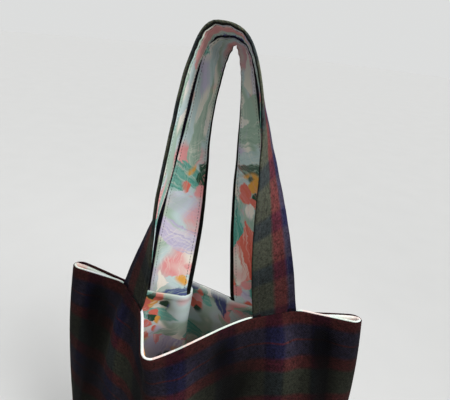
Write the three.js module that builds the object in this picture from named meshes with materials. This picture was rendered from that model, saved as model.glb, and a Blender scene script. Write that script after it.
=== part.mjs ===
// A lined tote bag: two cloth panels and two lining panels sewn into a bag with a boxed
// bottom, and two flat handles whose ends are sewn into the rim between cloth and lining.
// Millimetres and degrees. +X runs to the right, -Y to the front, +Z up, and the bag stands on Z = 0.
import * as THREE from 'three';

// Cloth sizes
const PANEL_WIDTH = 366; // cloth of each panel from side seam to side seam
const RIM_HEIGHT = 380; // height of the standing bag's rim
const BASE_DEPTH = 90; // depth of the boxed bottom, front to back
const OUTER_CLOTH = 1.4; // thickness of the woollen outer cloth
const LINING_CLOTH = 0.6; // thickness of the lining
const SEAM_LINE_Y = 15; // side seams behind the middle of the bag's depth
const CLEARANCE = 0.3; // air between two cloths that lie on each other

// Handle sizes
const STRAP_WIDTH = 45;
const STRAP_CLOTH = 2.2; // folded wool of a handle
const STRAP_LINING_WIDTH = 36; // lining strip on the inside of a handle
const STRAP_TAIL_CLOTH = 1; // handle end pressed flat inside the rim seam
const STRAP_TAIL_DEPTH = 28; // how far a handle end reaches down inside the rim
const STRAP_FLEX = 60; // length above the rim over which a handle bends when it swings
const STRAP_FLARE = 5; // length over which a handle end thickens above the rim
const HANDLE_GAP = 2.5; // air between the two handles where they meet at the top
const HANDLE_MEET_Y = 2.5; // where they meet, behind the side seams
const FRONT_STRAP_INSET = 65.5; // from the side seam to a front handle, along the rim
const BACK_STRAP_INSET = 87.5;
const HANDLE_TOP_X = -7.5; // where the handles hang, left of the bag's middle
const FRONT_RISE = 243; // top of a handle above the rim
const BACK_RISE = 233.5;
const LOOP_TILT = 10.5; // how far the handles' tops slope down to the back
// Legs of the handles: share of the way up that each leans before it bends, half the width of
// its bend at the top, the shares of the way between which it twists, and how far it is turned
// from facing the other leg, seen from above
const FRONT_LEGS = {
  left: { lean: { x: 0.59, y: 0.28, z: 0.53 }, crown: 31, twist: [0, 0.49], turn: 6 },
  right: { lean: { x: 0.6, y: 0.45, z: 0.97 }, crown: 28, twist: [0, 0.85], turn: 6 },
};
const BACK_LEGS = {
  left: { lean: { x: 0.4, y: 1.1, z: 0.83 }, crown: 20.5, twist: [0, 0.78], turn: -20.5 },
  right: { lean: { x: 0.66, y: 1.35, z: 0.82 }, crown: 20, twist: [0, 1], turn: 21.5 },
};

// Folds of the rim, seen from above: lengths of cloth, and the way each stretch heads
const SIDE_TURN = 5; // cloth that turns round at a side seam
const FOLD_ROUNDING = 18; // cloth over which a fold turns
const CORNER_ROUNDING = 9; // cloth over which the base's corners turn
const FRONT_FOLD_LEFT = 42.5; // cloth from the front left handle to the front fold's edge
const FRONT_FOLD_DROOP = 19; // how far the front fold's edge sags below the rim
const BACK_FOLD_LEFT = 32.5;
const BACK_FOLD_DROOP = 3;
const FRONT_DIP = 0; // how far the rim hangs below the side seams at the handles
const BACK_DIP = 8;
const FRONT_HEADINGS = {
  leftSide: -8,
  leftStrap: -48,
  foldLeft: -69,
  foldRight: 37,
  rightStrap: 32,
  rightSide: -2,
};
const BACK_HEADINGS = {
  leftSide: -9,
  leftStrap: 4,
  foldLeft: 150,
  foldRight: -22,
  rightStrap: -5,
  rightSide: 5,
};
const FOLD_EASE = 1.3; // how soon the folds fade out below the rim

// Stitching
const THREAD = 0.8; // thickness of a seam's thread
const STITCH_WIDTH = 0.8; // topstitching on the handles
const STITCH_RISE = 0.4;
const STITCH_INSET = 2.2; // from the edge of a handle's lining
const RIM_STITCH_DEPTH = 5; // rim seam's thread below the rim
const LIP_DEPTH = 3; // lining's rolled edge that closes the rim
const LIP_RISE = 1.2; // how far it stands above the outer cloth
const LIP_ROWS = 2; // rows of points that the rolled edge takes
const LIP_EASE = 1.5; // stretch over which the rolled edge makes way for a handle

// Fineness of the surfaces
const MAX_COLUMN = 24;
const MIN_COLUMN = 1.2;
const TAIL_ROWS = 4; // rows of points from the rim to the foot of the handle ends
const WALL_ROWS = 8; // and from there to the floor
const CURVE_STEP = 1;
const STRAP_STEPS = 48;
const TOP_EASE = 1.6; // how much closer together a handle's rows lie at its top
const FLEX_STEPS = 5;
const SAME_PLACE = 1e-6; // places closer together than this are one

const GAP_FACE = OUTER_CLOTH + CLEARANCE; // depth of the space between cloth and lining
const GAP_MIDDLE = GAP_FACE + STRAP_TAIL_CLOTH / 2;
const LINING_FACE = GAP_FACE + STRAP_TAIL_CLOTH + CLEARANCE;
const WALL = LINING_FACE + LINING_CLOTH;
const STRAP_THICKNESS = STRAP_CLOTH + CLEARANCE + LINING_CLOTH;
const radians = THREE.MathUtils.degToRad;

// One side of the bag: its rim folds, its handle and which way is in
function makeSide({ name, outward, inset, foldLeft, droop, dip, headings, rise, legs }) {
  const foldWidth = PANEL_WIDTH - 2 * (inset + STRAP_WIDTH);
  const rim = [
    [SIDE_TURN, 90 * outward],
    [inset - SIDE_TURN, headings.leftSide],
    [STRAP_WIDTH, headings.leftStrap],
    [foldLeft, headings.foldLeft],
    [foldWidth - foldLeft, headings.foldRight],
    [STRAP_WIDTH, headings.rightStrap],
    [inset - SIDE_TURN, headings.rightSide],
    [SIDE_TURN, -90 * outward],
  ];
  const floor = [
    [BASE_DEPTH / 2, 90 * outward],
    [PANEL_WIDTH - BASE_DEPTH, 0],
    [BASE_DEPTH / 2, -90 * outward],
  ];
  const foldStart = inset + STRAP_WIDTH;
  const fold = { start: foldStart, edge: foldStart + foldLeft, end: PANEL_WIDTH - foldStart };
  const straps = { left: inset, right: fold.end };
  return { name, outward, inset, rim, floor, fold, droop, dip, straps, rise, legs };
}

const front = makeSide({
  name: 'front',
  outward: -1,
  inset: FRONT_STRAP_INSET,
  foldLeft: FRONT_FOLD_LEFT,
  droop: FRONT_FOLD_DROOP,
  dip: FRONT_DIP,
  headings: FRONT_HEADINGS,
  rise: FRONT_RISE,
  legs: FRONT_LEGS,
});
const back = makeSide({
  name: 'back',
  outward: 1,
  inset: BACK_STRAP_INSET,
  foldLeft: BACK_FOLD_LEFT,
  droop: BACK_FOLD_DROOP,
  dip: BACK_DIP,
  headings: BACK_HEADINGS,
  rise: BACK_RISE,
  legs: BACK_LEGS,
});

// Sum of the headings of a list of stretches from its start to a place along it
function headingSum(stretches, place) {
  let sum = Math.min(place, 0) * stretches[0][1];
  let left = Math.max(place, 0);
  for (const [length, heading] of stretches) {
    const part = Math.min(left, length);
    sum += part * heading;
    left -= part;
  }
  return sum + left * stretches[stretches.length - 1][1];
}

// Heading at a place, averaged over a rounding so that each fold turns smoothly
function headingAt(stretches, place, rounding) {
  const half = rounding / 2;
  return (headingSum(stretches, place + half) - headingSum(stretches, place - half)) / rounding;
}

// Plan of one panel at a level, from 0 at the rim to 1 at the floor, as x, y and heading per step
function rawPlan(side, level) {
  const folded = (1 - level) ** FOLD_EASE;
  const steps = Math.round(PANEL_WIDTH / CURVE_STEP);
  const step = PANEL_WIDTH / steps;
  const points = [{ x: 0, y: 0 }];
  for (let i = 0; i < steps; i += 1) {
    const place = (i + 0.5) * step;
    const atRim = headingAt(side.rim, place, FOLD_ROUNDING);
    const atFloor = headingAt(side.floor, place, CORNER_ROUNDING);
    const heading = THREE.MathUtils.lerp(atFloor, atRim, folded);
    const last = points[i];
    points.push({
      x: last.x + Math.cos(radians(heading)) * step,
      y: last.y + Math.sin(radians(heading)) * step,
    });
  }
  return points;
}

// Both panels of a level drawn to one width, with their ends on the side seams
const plans = new Map();
function levelPlans(level) {
  if (!plans.has(level)) {
    const raw = [rawPlan(front, level), rawPlan(back, level)];
    const width = (raw[0].at(-1).x + raw[1].at(-1).x) / 2;
    const fitted = raw.map((points) => {
      const end = points.at(-1);
      return points.map((point) => new THREE.Vector2(
        (point.x / end.x - 0.5) * width,
        point.y - (end.y * point.x) / end.x,
      ));
    });
    plans.set(level, { front: fitted[0], back: fitted[1], width });
  }
  return plans.get(level);
}

// Place and inward normal of a panel's face, in plan
function planAt(side, place, level) {
  const points = levelPlans(level)[side.name];
  const along = (place / PANEL_WIDTH) * (points.length - 1);
  const i = Math.min(Math.floor(along), points.length - 2);
  const at = points[i].clone().lerp(points[i + 1], along - i);
  const before = points[Math.max(i - 1, 0)];
  const after = points[Math.min(i + 2, points.length - 1)];
  const way = after.clone().sub(before).normalize();
  const atSeam = place < CURVE_STEP || place > PANEL_WIDTH - CURVE_STEP;
  const inward = atSeam
    ? new THREE.Vector2(-Math.sign(at.x), 0)
    : new THREE.Vector2(side.outward * way.y, -side.outward * way.x);
  return { at, inward };
}

// Height of the rim at a place along it
function rimZ(side, place) {
  const { start, edge, end } = side.fold;
  const rising = place < edge ? (place - start) / (edge - start) : (end - place) / (end - edge);
  const fromSeam = Math.min(place, PANEL_WIDTH - place) / side.inset;
  const { smoothstep } = THREE.MathUtils;
  return RIM_HEIGHT - side.dip * smoothstep(fromSeam, 0, 1) - side.droop * smoothstep(rising, 0, 1);
}

// A point of the wall: along the rim, down from it, and in from the outer face
function wallPoint(side, place, level, depth, lift = 0) {
  const { at, inward } = planAt(side, place, level);
  const z = (1 - level) * (rimZ(side, place) + lift) + level * depth;
  return new THREE.Vector3(at.x + inward.x * depth, SEAM_LINE_Y + at.y + inward.y * depth, z);
}

// A closed mesh from the outer and inner points of a grid of cells, some of which may be missing
function sheetGeometry(outer, inner, hasCell, flip) {
  const columns = outer.length;
  const rows = outer[0].length;
  const positions = [];
  const ids = new Map();
  const triangles = [];
  const vertex = (skin, i, j) => {
    const key = `${skin} ${i} ${j}`;
    if (!ids.has(key)) {
      ids.set(key, positions.length / 3);
      positions.push(...(skin === 0 ? outer : inner)[i][j].toArray());
    }
    return ids.get(key);
  };
  const quad = (a, b, c, d) => {
    triangles.push(...(flip ? [a, c, b, a, d, c] : [a, b, c, a, c, d]));
  };
  const present = (i, j) => i >= 0 && j >= 0 && i < columns - 1 && j < rows - 1 && hasCell(i, j);
  const edge = (i, j, k, l) => quad(vertex(0, i, j), vertex(1, i, j), vertex(1, k, l), vertex(0, k, l));
  for (let i = 0; i < columns - 1; i += 1) {
    for (let j = 0; j < rows - 1; j += 1) {
      if (present(i, j)) {
        quad(vertex(0, i, j), vertex(0, i, j + 1), vertex(0, i + 1, j + 1), vertex(0, i + 1, j));
        quad(vertex(1, i, j), vertex(1, i + 1, j), vertex(1, i + 1, j + 1), vertex(1, i, j + 1));
        if (!present(i - 1, j)) edge(i, j, i, j + 1);
        if (!present(i + 1, j)) edge(i + 1, j + 1, i + 1, j);
        if (!present(i, j - 1)) edge(i + 1, j, i, j);
        if (!present(i, j + 1)) edge(i, j + 1, i + 1, j + 1);
      }
    }
  }
  const geometry = new THREE.BufferGeometry();
  geometry.setAttribute('position', new THREE.Float32BufferAttribute(positions, 3));
  geometry.setIndex(triangles);
  geometry.computeVertexNormals();
  return geometry;
}

// A closed bar from rings of four corners each
function barGeometry(rings) {
  const outer = [0, 1].map((k) => rings.map((ring) => ring[k]));
  const inner = [3, 2].map((k) => rings.map((ring) => ring[k]));
  return sheetGeometry(outer, inner, () => true, false);
}

const bag = new THREE.Group();

function addMesh(name, geometry, material) {
  const mesh = new THREE.Mesh(geometry, material);
  mesh.name = name;
  bag.add(mesh);
}

const wool = () => new THREE.MeshStandardMaterial({ color: '#2c2527', roughness: 0.9, metalness: 0 });
const print = () => new THREE.MeshStandardMaterial({ color: '#b9a3a2', roughness: 0.75, metalness: 0 });
const thread = () => new THREE.MeshStandardMaterial({ color: '#1c1a20', roughness: 0.7, metalness: 0 });

// Places across a panel where its surface needs a column of points
function panelColumns(side) {
  const fixed = [CLEARANCE / 2, PANEL_WIDTH - CLEARANCE / 2];
  const wanted = [];
  for (const start of Object.values(side.straps)) {
    fixed.push(start - LIP_EASE, start, start + STRAP_WIDTH, start + STRAP_WIDTH + LIP_EASE);
  }
  for (const [stretches, rounding] of [[side.floor, CORNER_ROUNDING], [side.rim, FOLD_ROUNDING]]) {
    let place = 0;
    for (const [length] of stretches.slice(0, -1)) {
      place += length;
      wanted.push(place - rounding / 2, place, place + rounding / 2);
    }
  }
  const free = wanted.filter((place) => place > 0 && place < PANEL_WIDTH
    && fixed.every((other) => Math.abs(other - place) > MIN_COLUMN));
  const sorted = [...fixed, ...new Set(free)].sort((a, b) => a - b);
  const spread = sorted.filter((place, i) => fixed.includes(place) || place - sorted[i - 1] > MIN_COLUMN);
  return spread.flatMap((place, i) => {
    const next = spread[i + 1] ?? place;
    const parts = Math.max(1, Math.ceil((next - place) / MAX_COLUMN));
    return Array.from({ length: parts }, (_, k) => place + ((next - place) * k) / parts);
  });
}

// Levels of the wall's rows of points: the lip, the handle ends, then even steps to the floor
function wallLevels() {
  const top = [0, LIP_DEPTH, LIP_DEPTH + CLEARANCE, STRAP_TAIL_DEPTH];
  const below = Array.from({ length: WALL_ROWS }, (_, k) => (
    STRAP_TAIL_DEPTH + ((RIM_HEIGHT - STRAP_TAIL_DEPTH) * (k + 1)) / WALL_ROWS
  ));
  return [...top, ...below].map((depth) => depth / RIM_HEIGHT);
}

// True where the rim is free of handles, so the lining's rolled edge closes it
function hasLip(side, place) {
  return Object.values(side.straps).every((start) => (
    place <= start - LIP_EASE + SAME_PLACE || place >= start + STRAP_WIDTH + LIP_EASE - SAME_PLACE
  ));
}

// One panel's solid: wall from rim to floor, then its half of the boxed bottom
function panelGeometry(side, faceDepth, innerDepth, lipDepth, lift) {
  const columns = panelColumns(side);
  const levels = wallLevels();
  const floorStart = (BASE_DEPTH + CORNER_ROUNDING) / 2;
  const floorEnd = PANEL_WIDTH - floorStart;
  const onFloor = (place) => place >= floorStart - SAME_PLACE && place <= floorEnd + SAME_PLACE;
  const floorHalf = levelPlans(1).width / 2 - innerDepth - CLEARANCE;
  const edgeX = Math.abs(wallPoint(side, floorStart, 1, 0).x);
  const turnIn = (2 * CORNER_ROUNDING) / BASE_DEPTH;
  const seamY = SEAM_LINE_Y + (side.outward * CLEARANCE) / 2;
  const skin = (depth, top) => columns.map((place) => {
    const wall = levels.map((level, row) => {
      const onLip = row < LIP_ROWS && hasLip(side, place);
      return wallPoint(side, place, level, onLip ? top : depth, onLip && row === 0 ? lift : 0);
    });
    const foot = wall.at(-1);
    const inner = new THREE.Vector3((foot.x * floorHalf) / edgeX, 0, depth);
    const floor = [turnIn, 1].map((share) => new THREE.Vector3(
      inner.x,
      THREE.MathUtils.lerp(foot.y, seamY, share),
      depth,
    ));
    return [...wall, ...floor];
  });
  const hasCell = (i, j) => j < levels.length - 1 || (onFloor(columns[i]) && onFloor(columns[i + 1]));
  return sheetGeometry(skin(faceDepth, lipDepth), skin(innerDepth, innerDepth), hasCell, side.outward > 0);
}

for (const side of [front, back]) {
  addMesh(`outer_${side.name}_panel`, panelGeometry(side, 0, OUTER_CLOTH, 0, 0), wool());
  addMesh(`lining_${side.name}_panel`, panelGeometry(side, LINING_FACE, WALL, GAP_FACE, LIP_RISE), print());
}

// One leg of a handle as a curve from the rim to the top of the loop, with its turning width
function makeLeg(side, hand) {
  const start = side.straps[hand];
  const { lean, crown, twist, turn } = side.legs[hand];
  const middle = start + STRAP_WIDTH / 2;
  const base = wallPoint(side, middle, 0, GAP_MIDDLE);
  const topY = SEAM_LINE_Y + HANDLE_MEET_Y + (side.outward * (STRAP_WIDTH + HANDLE_GAP)) / 2;
  const top = new THREE.Vector3(HANDLE_TOP_X, topY, RIM_HEIGHT + side.rise);
  const reach = top.clone().sub(base);
  const leaning = base.clone().add(reach.multiply(lean));
  const bend = top.clone().add(new THREE.Vector3(Math.sign(base.x) * crown, 0, 0));
  const curve = new THREE.CubicBezierCurve3(base, leaning, bend, top);
  const { inward } = planAt(side, middle, 0);
  const across = new THREE.Vector2(side.outward * -inward.y, side.outward * inward.x);
  const facing = side.outward * (hand === 'left' ? 1 : -1) * 90;
  const heading = THREE.MathUtils.radToDeg(across.angle());
  const from = heading > 180 ? heading - 360 : heading;
  return { side, hand, start, curve, from, facing, twist, turn };
}

// Middle, width direction and outward direction of a leg at a share of its length
function legFrame(leg, share) {
  const middle = leg.curve.getPointAt(share);
  const up = leg.curve.getTangentAt(share);
  const twisted = THREE.MathUtils.smoothstep(share, ...leg.twist);
  const turned = leg.facing + leg.turn * up.z;
  const angle = radians(THREE.MathUtils.lerp(leg.from, turned, twisted));
  const slope = -Math.tan(radians(LOOP_TILT)) * twisted;
  const across = new THREE.Vector3(Math.cos(angle), Math.sin(angle), slope * Math.sin(angle));
  across.addScaledVector(up, -across.dot(up)).normalize();
  const out = across.clone().cross(up).multiplyScalar(-leg.side.outward);
  return { middle, across, out };
}

// Four corners of a handle layer's section: its two edges across and its two faces, outermost first
function sectionRing(frame, edges, faces) {
  const corner = (edge, face) => frame.middle.clone()
    .addScaledVector(frame.across, edge)
    .addScaledVector(frame.out, face);
  const [near, far] = edges;
  const [outer, inner] = faces;
  return [corner(near, outer), corner(far, outer), corner(far, inner), corner(near, inner)];
}

// A handle end: its tail inside the rim seam and the length above the rim that bends
function handleEndGeometry(leg) {
  const { side, start } = leg;
  const end = start + STRAP_WIDTH;
  const places = panelColumns(side).filter((place) => (
    place > start - SAME_PLACE && place < end + SAME_PLACE
  ));
  const tailLevels = wallLevels().slice(0, TAIL_ROWS);
  const length = leg.curve.getLength();
  const shares = Array.from({ length: FLEX_STEPS }, (_, k) => (
    STRAP_FLARE + ((STRAP_FLEX - CLEARANCE - STRAP_FLARE) * k) / (FLEX_STEPS - 1)
  )).map((rise) => rise / length);
  const skin = (depth, face) => places.map((place) => {
    const tail = tailLevels.map((level) => wallPoint(side, place, level, depth));
    const above = shares.map((share) => {
      const frame = legFrame(leg, share);
      const edge = place - start - STRAP_WIDTH / 2;
      return frame.middle.addScaledVector(frame.across, edge).addScaledVector(frame.out, face);
    });
    return [...above.reverse(), ...tail];
  });
  const outer = skin(GAP_FACE, STRAP_THICKNESS / 2);
  const inner = skin(GAP_FACE + STRAP_TAIL_CLOTH, -STRAP_THICKNESS / 2);
  return sheetGeometry(outer, inner, () => true, side.outward > 0);
}

// Shares of a leg's length at which its loop has rows, from the bending end to the top
function loopShares(leg) {
  const from = STRAP_FLEX / leg.curve.getLength();
  return Array.from({ length: STRAP_STEPS + 1 }, (_, k) => (
    1 - (1 - from) * (1 - k / STRAP_STEPS) ** TOP_EASE
  ));
}

// One layer of a handle's loop between its two bending ends
function loopGeometry(legs, edges, faces) {
  const [left, right] = legs;
  const rings = loopShares(left).map((share) => sectionRing(legFrame(left, share), edges, faces));
  const other = loopShares(right).slice(0, -1).reverse().map((share) => (
    sectionRing(legFrame(right, share), edges.map((edge) => -edge), faces)
  ));
  const loop = [...rings, ...other];
  const facing = ([near, far, farInner, nearInner]) => (
    left.side.outward < 0 ? [far, near, nearInner, farInner] : [near, far, farInner, nearInner]
  );
  return barGeometry(loop.map(facing));
}

for (const side of [front, back]) {
  const legs = ['left', 'right'].map((hand) => makeLeg(side, hand));
  for (const leg of legs) {
    addMesh(`${side.name}_${leg.hand}_handle_end`, handleEndGeometry(leg), wool());
  }
  const faces = [STRAP_THICKNESS / 2, STRAP_THICKNESS / 2 - STRAP_CLOTH];
  const liningFaces = [faces[1] - CLEARANCE, -STRAP_THICKNESS / 2];
  const stitchFaces = [liningFaces[1] - CLEARANCE, liningFaces[1] - CLEARANCE - STITCH_RISE];
  const halfStrap = STRAP_WIDTH / 2;
  const halfLining = STRAP_LINING_WIDTH / 2;
  const handle = `${side.name}_handle`;
  addMesh(`${handle}_outer_strip`, loopGeometry(legs, [-halfStrap, halfStrap], faces), wool());
  addMesh(`${handle}_lining_strip`, loopGeometry(legs, [-halfLining, halfLining], liningFaces), print());
  const row = halfLining - STITCH_INSET;
  for (const [edgeName, middle] of [['outer', -row], ['inner', row]]) {
    const edges = [middle - STITCH_WIDTH / 2, middle + STITCH_WIDTH / 2];
    addMesh(`${handle}_${edgeName}_edge_stitching`, loopGeometry(legs, edges, stitchFaces), thread());
  }
}

// Thread of the rim seam between two places along the rim, in the space between cloth and lining
function rimThreadGeometry(side, from, to) {
  const places = [from, ...panelColumns(side).filter((place) => place > from && place < to), to];
  const levels = [RIM_STITCH_DEPTH, RIM_STITCH_DEPTH + THREAD].map((depth) => depth / RIM_HEIGHT);
  const skin = (depth) => places.map((place) => (
    levels.map((level) => wallPoint(side, place, level, depth))
  ));
  const outer = skin(GAP_MIDDLE - THREAD / 2);
  const inner = skin(GAP_MIDDLE + THREAD / 2);
  return sheetGeometry(outer, inner, () => true, side.outward > 0);
}

for (const side of [front, back]) {
  const { left, right } = side.straps;
  const runs = {
    left: [SIDE_TURN, left - CLEARANCE],
    middle: [left + STRAP_WIDTH + CLEARANCE, right - CLEARANCE],
    right: [right + STRAP_WIDTH + CLEARANCE, PANEL_WIDTH - SIDE_TURN],
  };
  for (const [place, [from, to]] of Object.entries(runs)) {
    addMesh(`${side.name}_rim_seam_${place}`, rimThreadGeometry(side, from, to), thread());
  }
}

// A square thread along a list of middles, with its section set by two directions
function threadGeometry(middles, sideways, upward) {
  const run = middles.at(-1).clone().sub(middles[0]);
  const turn = Math.sign(sideways.clone().cross(upward).dot(run));
  const corners = [[1, turn], [1, -turn], [-1, -turn], [-1, turn]];
  const rings = middles.map((middle) => corners.map(([a, b]) => middle.clone()
    .addScaledVector(sideways, (a * THREAD) / 2)
    .addScaledVector(upward, (b * THREAD) / 2)));
  return barGeometry(rings);
}

const axisX = new THREE.Vector3(1, 0, 0);
const axisY = new THREE.Vector3(0, 1, 0);
const axisZ = new THREE.Vector3(0, 0, 1);
const baseHalf = levelPlans(1).width / 2;
const straightHalf = (BASE_DEPTH - CORNER_ROUNDING) / 2;

for (const [name, sign] of [['left', -1], ['right', 1]]) {
  const seamFoot = 1 - (GAP_MIDDLE + 2 * THREAD) / RIM_HEIGHT;
  const levels = [RIM_STITCH_DEPTH / RIM_HEIGHT, ...wallLevels().slice(TAIL_ROWS - 1, -1), seamFoot];
  const middles = levels.map((level) => new THREE.Vector3(
    sign * (levelPlans(level).width / 2 - GAP_MIDDLE),
    SEAM_LINE_Y,
    RIM_HEIGHT * (1 - level),
  ));
  addMesh(`${name}_side_seam`, threadGeometry(middles, axisX, axisY), thread());
  const corner = [-1, 1].map((end) => new THREE.Vector3(
    sign * (baseHalf - GAP_MIDDLE),
    SEAM_LINE_Y + end * straightHalf,
    GAP_MIDDLE,
  ));
  addMesh(`${name}_corner_seam`, threadGeometry(corner, axisX, axisZ), thread());
}

const baseEnds = [-1, 1].map((end) => new THREE.Vector3(
  end * (baseHalf - WALL - THREAD),
  SEAM_LINE_Y,
  GAP_MIDDLE,
));
addMesh('bottom_seam', threadGeometry(baseEnds, axisY, axisZ), thread());

export default bag;
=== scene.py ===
import math

import bmesh
import bpy
import numpy as np
from bpy.props import FloatProperty, FloatVectorProperty, PointerProperty
from mathutils import Matrix, Vector, noise


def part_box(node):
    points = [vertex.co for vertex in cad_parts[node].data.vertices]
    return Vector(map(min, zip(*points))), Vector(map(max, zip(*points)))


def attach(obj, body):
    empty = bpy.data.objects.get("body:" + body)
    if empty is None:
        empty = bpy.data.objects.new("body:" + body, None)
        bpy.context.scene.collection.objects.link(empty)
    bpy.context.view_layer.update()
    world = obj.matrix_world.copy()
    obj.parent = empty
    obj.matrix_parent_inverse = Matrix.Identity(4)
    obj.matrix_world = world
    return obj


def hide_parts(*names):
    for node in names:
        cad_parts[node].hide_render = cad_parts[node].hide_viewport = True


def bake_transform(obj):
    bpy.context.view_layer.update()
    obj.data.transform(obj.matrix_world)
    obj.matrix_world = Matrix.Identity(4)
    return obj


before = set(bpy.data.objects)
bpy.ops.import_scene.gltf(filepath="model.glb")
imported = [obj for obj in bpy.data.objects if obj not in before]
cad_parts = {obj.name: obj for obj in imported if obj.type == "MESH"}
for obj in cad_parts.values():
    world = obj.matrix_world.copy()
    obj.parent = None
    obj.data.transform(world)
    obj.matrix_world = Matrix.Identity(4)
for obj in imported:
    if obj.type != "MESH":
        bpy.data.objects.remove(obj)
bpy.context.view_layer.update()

bl_info = {
    "name": "Lined tote bag",
    "version": (1, 0, 0),
    "blender": (4, 5, 0),
    "location": "3D View > Sidebar > Tote bag",
    "description": "Dresses the packed tote bag in tartan wool, a printed lining and sewing thread",
    "category": "Object",
}

# Fold facts of both sides, in metres of cloth and degrees. Inset is from a side seam to a strap, fold_left is
# the left flank of the fold between the straps, droop is how far that fold sags and dip how far the rim does,
# and rise is the top of the handle above the rim. Headings say which way the rim runs, seen from above: left
# side, left strap, both flanks of the fold, right strap and right side. A leg leaves the rim by its lean, in
# shares of its way to the top, and bends in from its crown's distance beside the top. Its width twists
# between two shares of its length, and is turned by some more degrees where the leg stands upright.
FOLDS = {
    "front": {
        "outward": -1,
        "inset": 0.0655,
        "fold_left": 0.0425,
        "droop": 0.019,
        "dip": 0.0,
        "headings": (-8, -48, -69, 37, 32, -2),
        "rise": 0.243,
        "legs": {
            "left": {"lean": (0.59, 0.28, 0.53), "crown": 0.031, "twist": (0.0, 0.49), "turn": 6},
            "right": {"lean": (0.60, 0.45, 0.97), "crown": 0.028, "twist": (0.0, 0.85), "turn": 6},
        },
    },
    "back": {
        "outward": 1,
        "inset": 0.0875,
        "fold_left": 0.0325,
        "droop": 0.003,
        "dip": 0.008,
        "headings": (-9, 4, 150, -22, -5, 5),
        "rise": 0.2335,
        "legs": {
            "left": {"lean": (0.40, 1.10, 0.83), "crown": 0.0205, "twist": (0.0, 0.78), "turn": -20.5},
            "right": {"lean": (0.66, 1.35, 0.82), "crown": 0.020, "twist": (0.0, 1.0), "turn": 21.5},
        },
    },
}
HANDS = ("left", "right")
# Cloth that turns round each side seam at the rim
SIDE_TURN = 0.005
# Cloth over which a fold of the rim and a corner of the bottom turn
FOLD_ROUNDING = 0.018
CORNER_ROUNDING = 0.009
# How soon the folds of the rim open out on the way down, as a power of the height
FOLD_EASE = 1.3
# Where both handles have their tops, and how far these slope down to the back, in degrees
HANDLE_TOP_X = -0.0075
LOOP_TILT = 10.5
# Length above the rim over which a handle's pressed end becomes a free strap
STRAP_ROOT = 0.010
# How deep a seam draws the cloth in, and how far to its sides
SEAM_DEPTH = 0.0010
SEAM_REACH = 0.0022
# Cloth over which the wall turns into the bottom, and over which that rounding fades out at the boxed corners
BOTTOM_ROUNDING = 0.016
BOTTOM_FADE = 0.030
# Height over which the lining comes clear of the outer cloth above a boxed corner
FOOT_REACH = 0.03

# Heights of a panel's soft folds: slow waves, quick waves, slumping low on the wall, and the bulge there
SLOW_FOLD = 0.0085
QUICK_FOLD = 0.0026
SLUMP_FOLD = 0.0042
LOW_BULGE = 0.0025
# Cloth that stays smooth beside an edge, and cloth over which folds then grow
RIM_CALM = (0.004, 0.070)
SIDE_CALM = (0.003, 0.035)
FOOT_CALM = (0.005, 0.060)
BULGE_CALM = (0.0, 0.070)
PULL_CALM = (0.0, 0.030)
SLUMP_CALM = (0.20, 0.10)
# Folds that hang from each strap: places from its inner edge outwards, in widths of the strap, and heights
PULLS = ((0.62, 0.0085), (1.55, -0.0075), (2.15, 0.0040), (-0.70, -0.0055), (-1.6, 0.0026))
# Half width of such a fold at the rim, how it widens on the way down, and the length over which it dies out
PULL_WIDTH = 0.0085
PULL_SPREAD = 0.15
PULL_FADE = 0.13

# Fineness of the cloth: points of a plan and of a leg, steps across, down, along a handle and in the bottom's
# rounding, and finer lines at a seam
PLAN_STEPS = 366
CURVE_STEPS = 400
COLUMN_STEP = 0.0025
ROW_STEP = 0.0027
RUN_STEP = 0.0025
BOTTOM_STEP = 0.001
SEAM_LINES = (0.0, 0.0012, 0.0026)
# Points across a handle: its wool's flat face, the bend of an edge and what is turned in, and its lining
FACE_POINTS = 27
EDGE_POINTS = 9
TURN_POINTS = 5
LINING_POINTS = 29
# Sides and rings of a stitch
STITCH_SIDES = 6
STITCH_RINGS = 5
# Lengths that differ by less are the same
TINY = 1e-6

# Where the tartan's stripes start on each piece, and where each is cut from the print, in metres of cloth
TARTAN_START = {"front": (0.045, -0.003), "back": (0.020, 0.031)}
STRAP_TARTAN_START = {"front": (0.031, 0.0875), "back": (0.012, 0.0875)}
PRINT_START = {"front": (0.31, 1.17), "back": (1.43, 0.22)}
STRAP_PRINT_START = {"front": (2.31, 0.43), "back": (3.17, 2.06)}

# How much paler the handles are towards their tops, as painted light from above with some rubbing wear, how
# much paler the wool is rubbed at the rim, and the lengths over which these change
HANDLE_LIGHT_AND_WEAR = 2.5
HANDLE_LIGHT_AND_WEAR_GROWTH = 0.20
RIM_WEAR = 0.2
RIM_WEAR_REACH = 0.007
# How much darker a handle's folded edges are, as painted shade, from where and over what width, and the
# painted shade that darkens the panels
EDGE_SHADE = -0.7
EDGE_SHADE_START = 0.0002
EDGE_SHADE_GROWTH = 0.0016
PANEL_SHADE = -0.48
# Painted light on the panels' fold ridges and painted shade in their valleys, with some rubbing on the
# ridges: how the tone follows the height of the folds, per metre, with its limits
FOLD_SHADING_AND_WEAR = 130.0
FOLD_SHADING_AND_WEAR_LIMITS = (-0.45, 1.55)

# How deep and how far aside a handle's stitching draws the cloth in, and the play inside its turned edges
STITCH_DIP = 0.00025
STITCH_REACH = 0.0012
TURN_PLAY = 0.00005


def size(name, description, default):
    """A length that a user may change, in metres."""
    return FloatProperty(
        name=name,
        description=description,
        default=default,
        min=0.0,
        precision=4,
        unit="LENGTH",
        subtype="DISTANCE",
    )


def colour(name, description, default):
    """A colour that a user may change."""
    return FloatVectorProperty(
        name=name,
        description=description,
        default=(*default, 1.0),
        size=4,
        min=0.0,
        max=1.0,
        subtype="COLOR",
    )


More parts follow.
